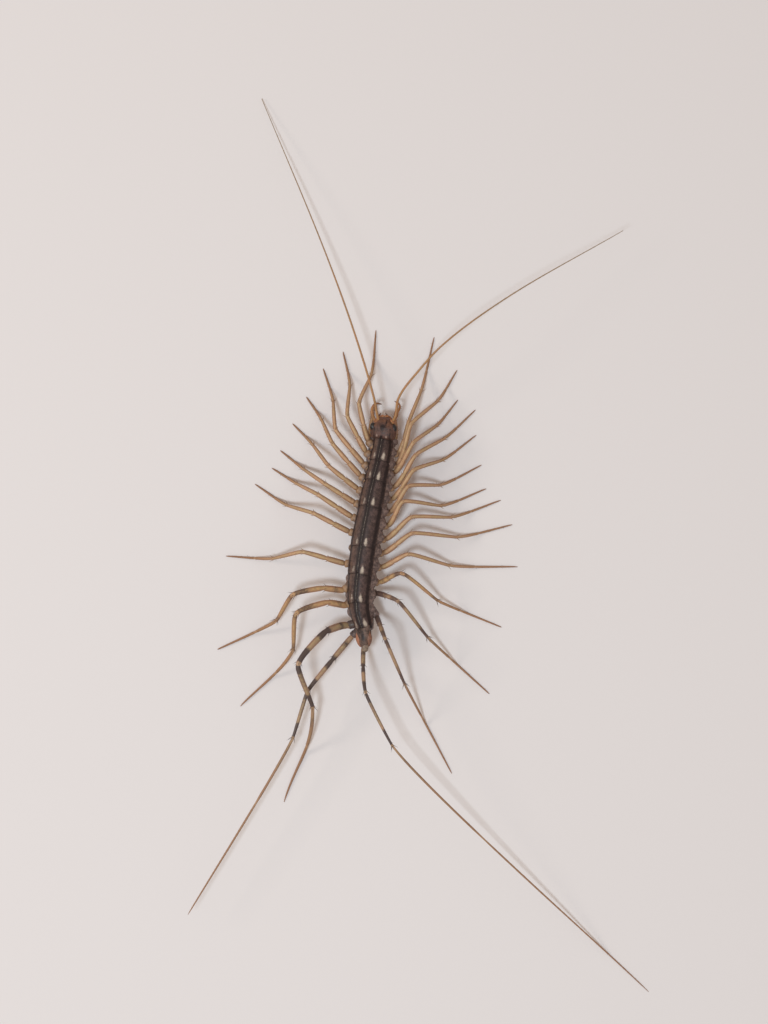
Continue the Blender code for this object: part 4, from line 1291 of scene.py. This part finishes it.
def add_back_plates():
    chance = np.random.default_rng(SEED + 2)
    bristles = []
    fronts = (TRUNK_FRONT_Y, *(rear + PLATE_OVERLAP for rear in PLATE_REARS[:-1]))
    for number, (front, rear) in enumerate(zip(fronts, PLATE_REARS), start=1):
        last = number == len(PLATE_REARS)
        outline = (front, rear, LAST_PLATE_WIDTH if last else 1.0, FIRST_PLATE_FLARE if number == 1 else 0.0)
        shape = back_plate(*outline)
        if last:
            shape.notes[:, 0] *= LAST_PLATE_PALENESS
        look = tail_shell if last else plate_shell
        add_piece(f"back_plate_{number}", shape, look, ("trunk",))
        bristles.append(plate_bristles(*outline, number, chance))
    add_bristles("plate_bristles", bristles)


def hip_y(number):
    past = number - 1
    return HIP_FIRST_Y - HIP_STEP * past - HIP_STEP_GROWTH * past**2


def coxae():
    """The first joint of each leg: a barrel round the leg's root, along its curve."""
    knots, values = zip(*COXA_PROFILE)
    stations = np.linspace(knots[0], knots[-1], COXA_RINGS)
    radii = eased(stations, knots, values)
    legs = [(side, number) for side in (LEFT, RIGHT) for number in LEGS[side] if number > 1]
    dark_looks = (banded_leg, dusky_leg)
    starts = [0.0 if LEG_LOOKS.get(leg) in dark_looks else WARM_NOTE for leg in legs]
    return [
        tube(leg_curve(*leg)(stations), radii, COXA_SIDES, start + stations)
        for leg, start in zip(legs, starts)
    ]


def add_body_skin():
    """The soft body under the plates.

    Each section is a rounded box: its distance out and its rise are powers of the
    cosine and sine of the turn, wider below than above. Along the body the width
    swells at each pair of hips, with a fold behind each, a lengthwise crease under
    the plates and a small shell plate over each hip.
    """
    ys = np.linspace(TRUNK_FRONT_Y, TRUNK_REAR_Y, BODY_ROWS)
    turns = np.arange(BODY_SIDES) * 2 * np.pi / BODY_SIDES
    hips = np.array([hip_y(number) for number in range(1, LEG_COUNT + 1)])
    phase = np.interp(ys, hips[::-1], np.arange(LEG_COUNT, 0, -1.0))
    pulse = np.cos(2 * np.pi * phase)[:, None]
    past = np.mod(phase, 1)[:, None]
    cosine, sine = np.cos(turns)[None, :], np.sin(turns)[None, :]
    rearmost = smooth_step(ys - TRUNK_REAR_Y, 0, FLANK_FADE)[:, None]
    widths = half_width(ys)[:, None] * (UPPER_SHARE + LOWER_SHARE * np.sqrt((1 - sine) / 2))
    widths = widths + FLANK_REACH * hump(sine, *FLANK_HUMP) * (1 + FLANK_PULSE * pulse) * rearmost
    folds = (hump(past, *FOLD_HUMP) + 0.5 * hump(past, *HALF_FOLD_HUMP)) * np.abs(cosine)
    hip_plates = hump(np.minimum(past, 1 - past), *HIP_PLATE_ALONG) * hump(sine, *HIP_PLATE_ROUND)
    relief = HIP_PLATE_HEIGHT * hip_plates - FOLD_DEPTH * folds - CREASE_DEPTH * hump(sine, *CREASE_HUMP)
    widths = widths + relief * rearmost
    taper = smooth_step(np.minimum(ys - TRUNK_REAR_Y, TRUNK_FRONT_Y - ys), *BODY_END_TAPER)[:, None]
    tops, under = ridge(ys)[:, None] - SKIN_BELOW_RIDGE, BELLY_HEIGHT
    belly = BELLY_SWELL * pulse * np.clip(-sine, 0, 1)
    height = (tops + under) / 2 + boxy(sine, BODY_ROUNDNESS) * (tops - under) / 2 * taper + belly
    rows = np.broadcast_to(ys[:, None], height.shape)
    rings = on_body(boxy(cosine, BODY_ROUNDNESS) * widths * taper, height, rows)
    sides = (np.broadcast_to(cosine, height.shape), np.broadcast_to(sine, height.shape))
    shape = joined([closed_rings(rings, np.stack((*sides, rows), axis=-1)), *coxae()])
    add_piece("body_skin", shape, flank_skin, ("trunk",))


def feeler_socket(side):
    """A ring round a feeler's root: a small circle swept round the feeler, square to it."""
    station = SOCKET_STATIONS[side]
    middle, ahead = through(FEELERS[side])(np.array((station, station + 0.02)))
    along = unit(ahead - middle)
    level = unit(np.cross(along, UP))
    lift = np.cross(level, along)
    turns = np.arange(SOCKET_SIDES) * 2 * np.pi / SOCKET_SIDES
    rolls = np.arange(SOCKET_ROLLS) * 2 * np.pi / SOCKET_ROLLS
    out = np.cos(turns)[:, None, None] * level + np.sin(turns)[:, None, None] * lift
    reach = SOCKET_WIDTH - SOCKET_ROUNDNESS + SOCKET_ROUNDNESS * np.cos(rolls)[None, :, None]
    rings = middle + out * reach + SOCKET_ROUNDNESS * np.sin(rolls)[None, :, None] * along
    index = np.arange(SOCKET_SIDES * SOCKET_ROLLS).reshape(SOCKET_SIDES, SOCKET_ROLLS)
    far = np.roll(index, -1, 0)
    quads = np.stack((index, np.roll(index, -1, 1), np.roll(far, -1, 1), far), axis=-1)
    return facing_out(Shape(rings, quads, np.zeros((0, 3)), np.zeros((SOCKET_SIDES * SOCKET_ROLLS, 3))))


def head_relief(out, fore, above):
    """Height added to the head's upper half.

    A groove down the middle, two grooves that fork to the feelers and a collar at
    the rear are cut in, and a swelling stands round each feeler's root and on the brow.
    """
    middle = hump(out, *MIDDLE_GROOVE) * smooth_step(MIDDLE_GROOVE_END - fore, 0, MARK_FADE)
    fork = hump(np.abs(out), FORK_SLOPE * (fore - FORK_START), FORK_WIDTH)
    fork = fork * smooth_step(fore, FORK_START, FORK_START + FORK_FADE)
    grooves = middle + fork + hump(fore, *COLLAR_GROOVE)
    sockets = hump(np.abs(out), *SOCKET_OUT) * hump(fore, *SOCKET_FORE)
    brow = hump(out, *BROW_OUT) * hump(fore, *BROW_FORE)
    return above * (SOCKET_SWELL * sockets + BROW_SWELL * brow - HEAD_GROOVE_DEPTH * grooves)


def head_marks(out, fore, above):
    """Pale, dark and warm marks of the head, from the tables of spots. Its underside is warm, and its sides
    are warm partly as a painted warm shadow.
    """
    strength, stripe, stripe_end = HEAD_SIDE_STRIPE
    side_stripe = strength * hump(np.abs(out), *stripe) * smooth_step(stripe_end - fore, 0, MARK_FADE)
    dark = marked(out, fore, HEAD_DARK) + side_stripe
    warm = HEAD_WARMTH + UNDER_WARMTH * (1 - above) + marked(out, fore, HEAD_WARM)
    # Cheek warmth: partly the head's own orange, partly a painted warm shadow
    warm = warm + marked(np.abs(out), fore, CHEEK_WARM_AND_SHADOW)
    return np.stack((marked(out, fore, HEAD_PALE) * above, dark * above, warm), axis=-1)


def head_skin():
    """The head shell.

    Its sections are rounded boxes between the named half widths, tops and
    undersides, with the relief added. Both ends are drawn in to close.
    """
    shares = 0.5 * np.sin(np.linspace(0, np.pi / 2, HEAD_RINGS)) + 0.5 * np.linspace(0, 1, HEAD_RINGS)
    ys = HEAD_REAR_Y + HEAD_LENGTH * shares
    rows = (HEAD_HALF_WIDTHS, HEAD_TOPS, HEAD_UNDERS)
    widths, tops, unders = (eased(shares, HEAD_SHARES, row)[:, None] for row in rows)
    close = closing(shares, HEAD_END_POWER)
    turns = (np.arange(HEAD_SIDES) + 0.5) * 2 * np.pi / HEAD_SIDES
    cosine, sine = np.cos(turns)[None, :], np.sin(turns)[None, :]
    out = boxy(cosine, HEAD_ROUNDNESS) * widths * (HEAD_END_WIDTH + (1 - HEAD_END_WIDTH) * close)
    height = (tops + unders) / 2 + boxy(sine, HEAD_ROUNDNESS) * (tops - unders) / 2 * close
    ys = np.broadcast_to(ys[:, None], height.shape)
    fore, above = ys - HEAD_REAR_Y, np.clip(sine, 0, 1) ** 0.5
    rings = on_body(out, height + head_relief(out, fore, above), ys)
    return closed_rings(rings, head_marks(out, fore, above))


def closing(shares, power):
    """The share of its size that a closed end keeps: nearly one, falling steeply at both ends."""
    return np.sqrt(np.clip(1 - ((shares - 0.5) / 0.5) ** power, END_OPENING, 1))[:, None]


def jaw_points(side):
    return [off_spine(place, side) for place in JAW]


def upper_lip():
    """An egg with a notch in the middle of its front."""
    lip = egg(off_spine(LIP_PLACE, RIGHT), LIP_RADII, *LIP_MESH)
    aside = lip.points[:, 0] - lip.points[:, 0].mean()
    front = np.clip(lip.notes[:, 1], 0, None)
    lip.points[:, 1] -= LIP_NOTCH * hump(aside, 0, LIP_NOTCH_WIDTH) * front
    return lip


def add_head():
    add_piece("head_shell", head_skin(), head_shell, ("head",))
    jaws = [ringed_limb(jaw_points(side), JAW_PROFILE, *JAW_MESH) for side in (LEFT, RIGHT)]
    sockets = [feeler_socket(side) for side in (LEFT, RIGHT)]
    mouth = joined([*jaws, upper_lip(), *sockets])
    add_piece("jaws_and_lip", mouth, mouth_skin, ("head",))
    for side, side_name in SIDE_NAMES.items():
        shape = egg(EYE_PLACES[side], EYE_RADII, *EYE_MESH)
        add_piece("faceted_eye_" + side_name, shape, eye_black, ("eye_" + side_name,))


def tail_lobe(points, side, profile, note):
    """A tapered lobe through points given in distance out, height and y, with one note all over."""
    out, height, ys = np.array(points).T
    shape = ringed_limb(on_body(side * out, height, ys), profile, *LOBE_MESH)
    shape.notes = np.tile(note, (len(shape.points), 1))
    return shape


def tail_core():
    """The last segments: rounded boxes that narrow in low steps."""
    shares = np.linspace(0, 1, TAIL_RINGS)
    rows = (TAIL_HALF_WIDTHS, TAIL_TOPS, TAIL_UNDERS)
    widths, tops, unders = (eased(shares, TAIL_SHARES, row)[:, None] for row in rows)
    close = closing(shares, TAIL_END_POWER)
    turns = np.arange(TAIL_SIDES) * 2 * np.pi / TAIL_SIDES
    cosine, sine = np.cos(turns)[None, :], np.sin(turns)[None, :]
    steps = 1 + TAIL_STEP_HEIGHT * np.cos(2 * np.pi * TAIL_STEPS * shares)[:, None]
    drawn_in = TAIL_END_WIDTH + (1 - TAIL_END_WIDTH) * close
    out = boxy(cosine, TAIL_ROUNDNESS) * widths * steps * drawn_in
    height = (tops + unders) / 2 + boxy(sine, TAIL_ROUNDNESS) * (tops - unders) / 2 * close
    behind = np.broadcast_to(TAIL_LENGTH * shares[:, None], height.shape)
    rings = on_body(out, height, TAIL_FRONT_Y - behind)
    warm = np.full(out.shape, TAIL_WARMTH)
    notes = (marked(out, behind, TAIL_PALE), marked(out, behind, TAIL_DARK), warm)
    return closed_rings(rings, np.stack(notes, axis=-1))


def add_tail():
    """The tail: its core, with a lobe on each side and a blunt end between them."""
    lobes = [tail_lobe(TAIL_LOBE, side, TAIL_LOBE_PROFILE, LOBE_NOTES[side]) for side in (LEFT, RIGHT)]
    end = tail_lobe(TAIL_END, RIGHT, TAIL_END_PROFILE, END_NOTE)
    add_piece("tail_segments", joined([tail_core(), *lobes, end]), tail_shell, ("tail",))


def hip_places(side, number):
    """Where a leg is rooted in the trunk, and the hip where it leaves it."""
    y = min(hip_y(number), HIP_ROOT_FOREMOST_Y)
    root = np.array((spine_x(y), y, HIP_ROOT_HEIGHT))
    root = root + side * HIP_ROOT_SHARE * half_width(y) * spine_across(y)
    root = np.array(OWN_ROOTS.get((side, number), root))
    if (side, number) in OWN_HIPS:
        return root, np.array(OWN_HIPS[side, number])
    fanned = hip_y(number) + HIP_ADVANCE[side] + HIP_FAN[side] * (FAN_MIDDLE - number)
    hip = np.array((spine_x(fanned), fanned, HIP_HEIGHT))
    return root, hip + side * (half_width(y) + HIP_REACH[side]) * spine_across(fanned)


def leg_curve(side, number):
    thigh_give = OWN_THIGH_GIVE.get((side, number), THIGH_GIVE[side])
    foot_give = BOWED_FEET.get((side, number), REAR_FOOT_GIVE if number >= FIRST_REAR_LEG else FOOT_GIVE)
    points = (*hip_places(side, number), *LEGS[side][number])
    smooth = through(points, (SUPPLE, thigh_give, SHIN_GIVE, foot_give))
    elbow = np.array(OWN_ELBOW_SHIFTS.get((side, number), ELBOW_SHIFT))

    def place(stations):
        bent = np.interp(stations, (1.0, ELBOW_STATION, 2.0), (0.0, 1.0, 0.0))
        return smooth(stations) + bent[..., None] * elbow

    return place


def leg_radii(stations, side, number):
    """Radius at each station: the named profile, ringed by a cosine along the tarsus."""
    slimness = FRONT_LEG_SLIMNESS + (1 - FRONT_LEG_SLIMNESS) * min(1, number / FULL_SIZE_LEG)
    slimness = OWN_SLIMNESS.get((side, number), slimness)
    knots, values = zip(*LEG_PROFILE)
    along = np.clip((stations - TARSUS_STATION) / (LAST_STATION - TARSUS_STATION), 0, 1)
    ringed = TARSUS_RINGING * np.cos(2 * np.pi * TARSUS_RINGLETS * along) * (along > 0)
    return eased(stations, knots, values) * slimness * (1 + ringed)


def settled(curve, stations, radii):
    """A limb's centre line, kept one radius above the floor."""
    path = curve(stations)
    path[:, 2] = np.maximum(path[:, 2], radii)
    return path


def limb_places(curve, stations, turns, radii):
    """Points on a limb's skin at stations and turns, with the outward and the forward direction there."""
    path = settled(curve, stations, radii)
    ahead = settled(curve, stations + STATION_STEP, radii)
    along = unit(ahead - path)
    level = unit(np.cross(along, UP))
    lift = np.cross(level, along)
    outward = np.cos(turns)[:, None] * level + np.sin(turns)[:, None] * lift
    return path + outward * radii[:, None] * ROOT_SHARE, outward, along


def leg_spurs(curve, side, number, chance):
    """Spurs round the end of each joint, with their roots sunk in and their tips leaning forward."""
    shapes = []
    size = 1.0 if number >= FIRST_REAR_LEG else FRONT_SPUR_SHARE
    for station, turns, length, radius in SPURS:
        stray = chance.uniform(-SPUR_STRAY, SPUR_STRAY, len(turns))
        turns = 2 * np.pi * (np.array(turns) + stray)
        stations = np.full(len(turns), station)
        roots, outward, along = limb_places(curve, stations, turns, leg_radii(stations, side, number))
        lengths = length * chance.uniform(1 - SPUR_VARIATION, 1 + SPUR_VARIATION, len(turns)) * size
        ways = along + SPUR_LEAN * outward
        shapes.append(thorns(roots - SPUR_DEPTH * outward, ways, lengths, radius, SPUR_SIDES, SPUR_BEND))
    return shapes


def leg_hairs(curve, side, number, chance):
    """Roots, ways, lengths, thicknesses and map places of a leg's fine hairs, most on its underside."""
    upper = chance.uniform(*UPPER_HAIR_SPAN, UPPER_HAIRS)
    stations = np.sort(np.concatenate((upper, chance.uniform(*FOOT_HAIR_SPAN, FOOT_HAIRS))))
    turns = chance.normal(-np.pi / 2, HAIR_TURN_SPREAD, len(stations))
    roots, outward, along = limb_places(curve, stations, turns, leg_radii(stations, side, number))
    ways = outward + along * chance.uniform(*HAIR_LEAN, (len(stations), 1))
    lengths = HAIR_LENGTH * chance.uniform(*HAIR_VARIATION, len(stations))
    lengths = lengths * np.where(stations > FOOT_HAIR_SPAN[0], FOOT_HAIR_SHARE, 1.0)
    low = roots[:, 2] + lengths * np.minimum(unit(ways)[:, 2], 0) < HAIR_CLEARANCE
    lengths = np.where(low, LOW_HAIR_SHARE * lengths, lengths)
    spots = np.stack((np.mod(turns / (2 * np.pi), 1), stations / LAST_STATION), axis=-1)
    return roots, ways, lengths, np.full(len(stations), HAIR_RADIUS), spots


def leg_skin(curve, side, number):
    """A leg as a tube with keels between its hip and its tarsus, and finer rings from there on."""
    tarsus = np.linspace(TARSUS_STATION, LAST_STATION, TARSUS_RINGS)
    upper = np.linspace(0, TARSUS_STATION, UPPER_LEG_RINGS + 1)[:-1]
    stations = np.concatenate((upper, tarsus))
    radii = leg_radii(stations, side, number)
    keeled = smooth_step(stations, *KEEL_RISE) * smooth_step(KEEL_END - stations, 0, KEEL_FADE)
    return tube(settled(curve, stations, radii), radii, LEG_SIDES, stations, KEEL_HEIGHT, KEELS, keeled)


def add_legs():
    chance = np.random.default_rng(SEED)
    for side, side_name in SIDE_NAMES.items():
        hairs = []
        for number in range(1, LEG_COUNT + 1):
            if (side, number) == LOST_LEG:
                add_stump()
                continue
            curve = leg_curve(side, number)
            shape = joined([leg_skin(curve, side, number), *leg_spurs(curve, side, number, chance)])
            name = f"leg_{number:02d}_{side_name}"
            nodes = (name + "_thigh", name + "_shin") if number >= FIRST_REAR_LEG else (name,)
            look = LEG_LOOKS.get((side, number), front_leg)
            add_piece(f"limb_{number:02d}_{side_name}", shape, look, nodes)
            hairs.append(leg_hairs(curve, side, number, chance))
        add_bristles("leg_hairs_" + side_name, hairs)


def add_bristles(name, rows):
    """A piece of fine hairs, each with its own small patch of the OFBake map at its root's place."""
    roots, ways, lengths, radii, spots = (np.concatenate(row) for row in zip(*rows))
    shape = thorns(roots, ways, lengths, radii, HAIR_SIDES, HAIR_BEND)
    each = len(shape.points) // len(spots)
    corners = np.tile(np.linspace(-MAP_PATCH, MAP_PATCH, each), len(spots))
    patch = np.repeat(spots, each, axis=0) + np.stack((corners, np.roll(corners, 1)), axis=-1)
    add_piece(name, shape, bristle_brown, (), patch)


def add_stump():
    """The short end left where the tenth leg on the left is lost."""
    side, number = LOST_LEG
    root, hip = hip_places(side, number)
    stations = np.linspace(0, 1, STUMP_RINGS)
    radii = eased(stations, *zip(*STUMP_PROFILE))
    path = root + (hip - root) * STUMP_SHARE * stations[:, None]
    add_piece("stump_left", tube(path, radii, STUMP_SIDES, stations), sandy_leg, ("trunk",))


def ringed_limb(points, profile, rings, sides, ringlets=0):
    """A tapered limb through points, whose notes run from station 0 to 4 along its whole length."""
    shares = np.linspace(0, 1, rings)
    knots, values = zip(*profile)
    ringed = 1 + RINGING * np.cos(2 * np.pi * ringlets * shares) * (shares > RINGING_START)
    radii = eased(shares * knots[-1], knots, values) * ringed
    path = settled(through(points), shares * (len(points) - 1), radii)
    return tube(path, radii, sides, shares * LAST_STATION)


def strewn_hairs(points, profile, hairs, chance):
    """Roots, ways, lengths, thicknesses and map places of hairs strewn over a limb through points.

    Their map runs on past the tip by the margin, in stations.
    """
    count, first, sizes, lean, radius, map_margin = hairs
    last = len(points) - 1
    stations = chance.uniform(first, last - HAIRLESS_END, count)
    turns = chance.uniform(0, 2 * np.pi, count)
    knots, values = zip(*profile)
    radii = eased(stations / last * knots[-1], knots, values)
    roots, outward, along = limb_places(through(points), stations, turns, radii)
    lengths = chance.uniform(*sizes, count)
    spots = np.stack((turns / (2 * np.pi), stations / (last + map_margin)), axis=-1)
    return roots, outward + lean * along, lengths, np.full(count, radius), spots


def add_feelers():
    """The feelers, mouth feelers and fangs, and the hairs on the feelers, jaws and mouth feelers."""
    chance = np.random.default_rng(SEED + 1)
    all_hairs = []
    feeler_mesh = (FEELER_RINGS, FEELER_SIDES, FEELER_RINGLETS)
    for side, side_name in SIDE_NAMES.items():
        feeler = ringed_limb(FEELERS[side], FEELER_PROFILE, *feeler_mesh)
        add_piece("ringed_feeler_" + side_name, feeler, feeler_skin, ("feeler_" + side_name,))
        palp = ringed_limb(PALPS[side], PALP_PROFILE, *PALP_MESH)
        add_piece("mouth_feeler_" + side_name, palp, palp_skin, ("palp_" + side_name,))
        claw = ringed_limb(CLAWS[side], CLAW_PROFILE, *CLAW_MESH)
        add_piece("fang_" + side_name, claw, claw_skin, ("venom_claw_" + side_name,))
        all_hairs.append(strewn_hairs(FEELERS[side], FEELER_PROFILE, FEELER_HAIRS, chance))
        all_hairs.append(strewn_hairs(jaw_points(side), JAW_PROFILE, JAW_HAIRS, chance))
        all_hairs.append(strewn_hairs(PALPS[side], PALP_PROFILE, PALP_HAIRS, chance))
    add_bristles("feeler_hairs", all_hairs)


def add_floor():
    floor = bpy.data.meshes.new("floor")
    reach = FLOOR_REACH * METRES
    corners = [(-reach, -reach, 0), (reach, -reach, 0), (reach, reach, 0), (-reach, reach, 0)]
    floor.from_pydata(corners, [], [(0, 1, 2, 3)])
    material, _, shader = new_material("pale_floor", specular=0.2)
    shader.inputs["Base Color"].default_value = colour(*FLOOR_TINT)
    shader.inputs["Roughness"].default_value = FLOOR_ROUGHNESS
    floor.materials.append(material)
    made = bpy.data.objects.new("floor", floor)
    bpy.context.scene.collection.objects.link(made)


def add_light(name, place, size, power, tint):
    """A soft square light that faces the middle of the animal. Its place is in millimetres."""
    light = bpy.data.lights.new(name, "AREA")
    light.size = size * METRES
    light.energy = power
    light.color = tint
    made = bpy.data.objects.new(name, light)
    made.location = Vector(place) * METRES
    target = Vector((*VIEW_CENTRE, 0)) * METRES
    made.rotation_euler = (target - made.location).to_track_quat("-Z", "Y").to_euler()
    bpy.context.scene.collection.objects.link(made)


def add_lights():
    for name, settings in LIGHTS.items():
        add_light(name, *settings)
    world = bpy.data.worlds.new("soft_surroundings")
    world.use_nodes = True
    background = world.node_tree.nodes["Background"]
    background.inputs["Color"].default_value = SURROUNDINGS_TINT
    background.inputs["Strength"].default_value = SURROUNDINGS_STRENGTH
    bpy.context.scene.world = world
    bpy.context.scene.view_settings.view_transform = "Standard"


def add_camera():
    camera = bpy.data.cameras.new("camera_above")
    camera.sensor_width = SENSOR
    camera.lens = SENSOR * (CAMERA_HEIGHT - FOCUS_HEIGHT) / VIEW_HEIGHT_SPAN
    camera.clip_start = 0.01
    camera.clip_end = 10
    made = bpy.data.objects.new("camera_above", camera)
    made.location = Vector((*VIEW_CENTRE, CAMERA_HEIGHT)) * METRES
    bpy.context.scene.collection.objects.link(made)
    bpy.context.scene.camera = made


add_camera()
add_body_skin()
add_back_plates()
add_head()
add_tail()
add_legs()
add_feelers()
add_floor()
add_lights()
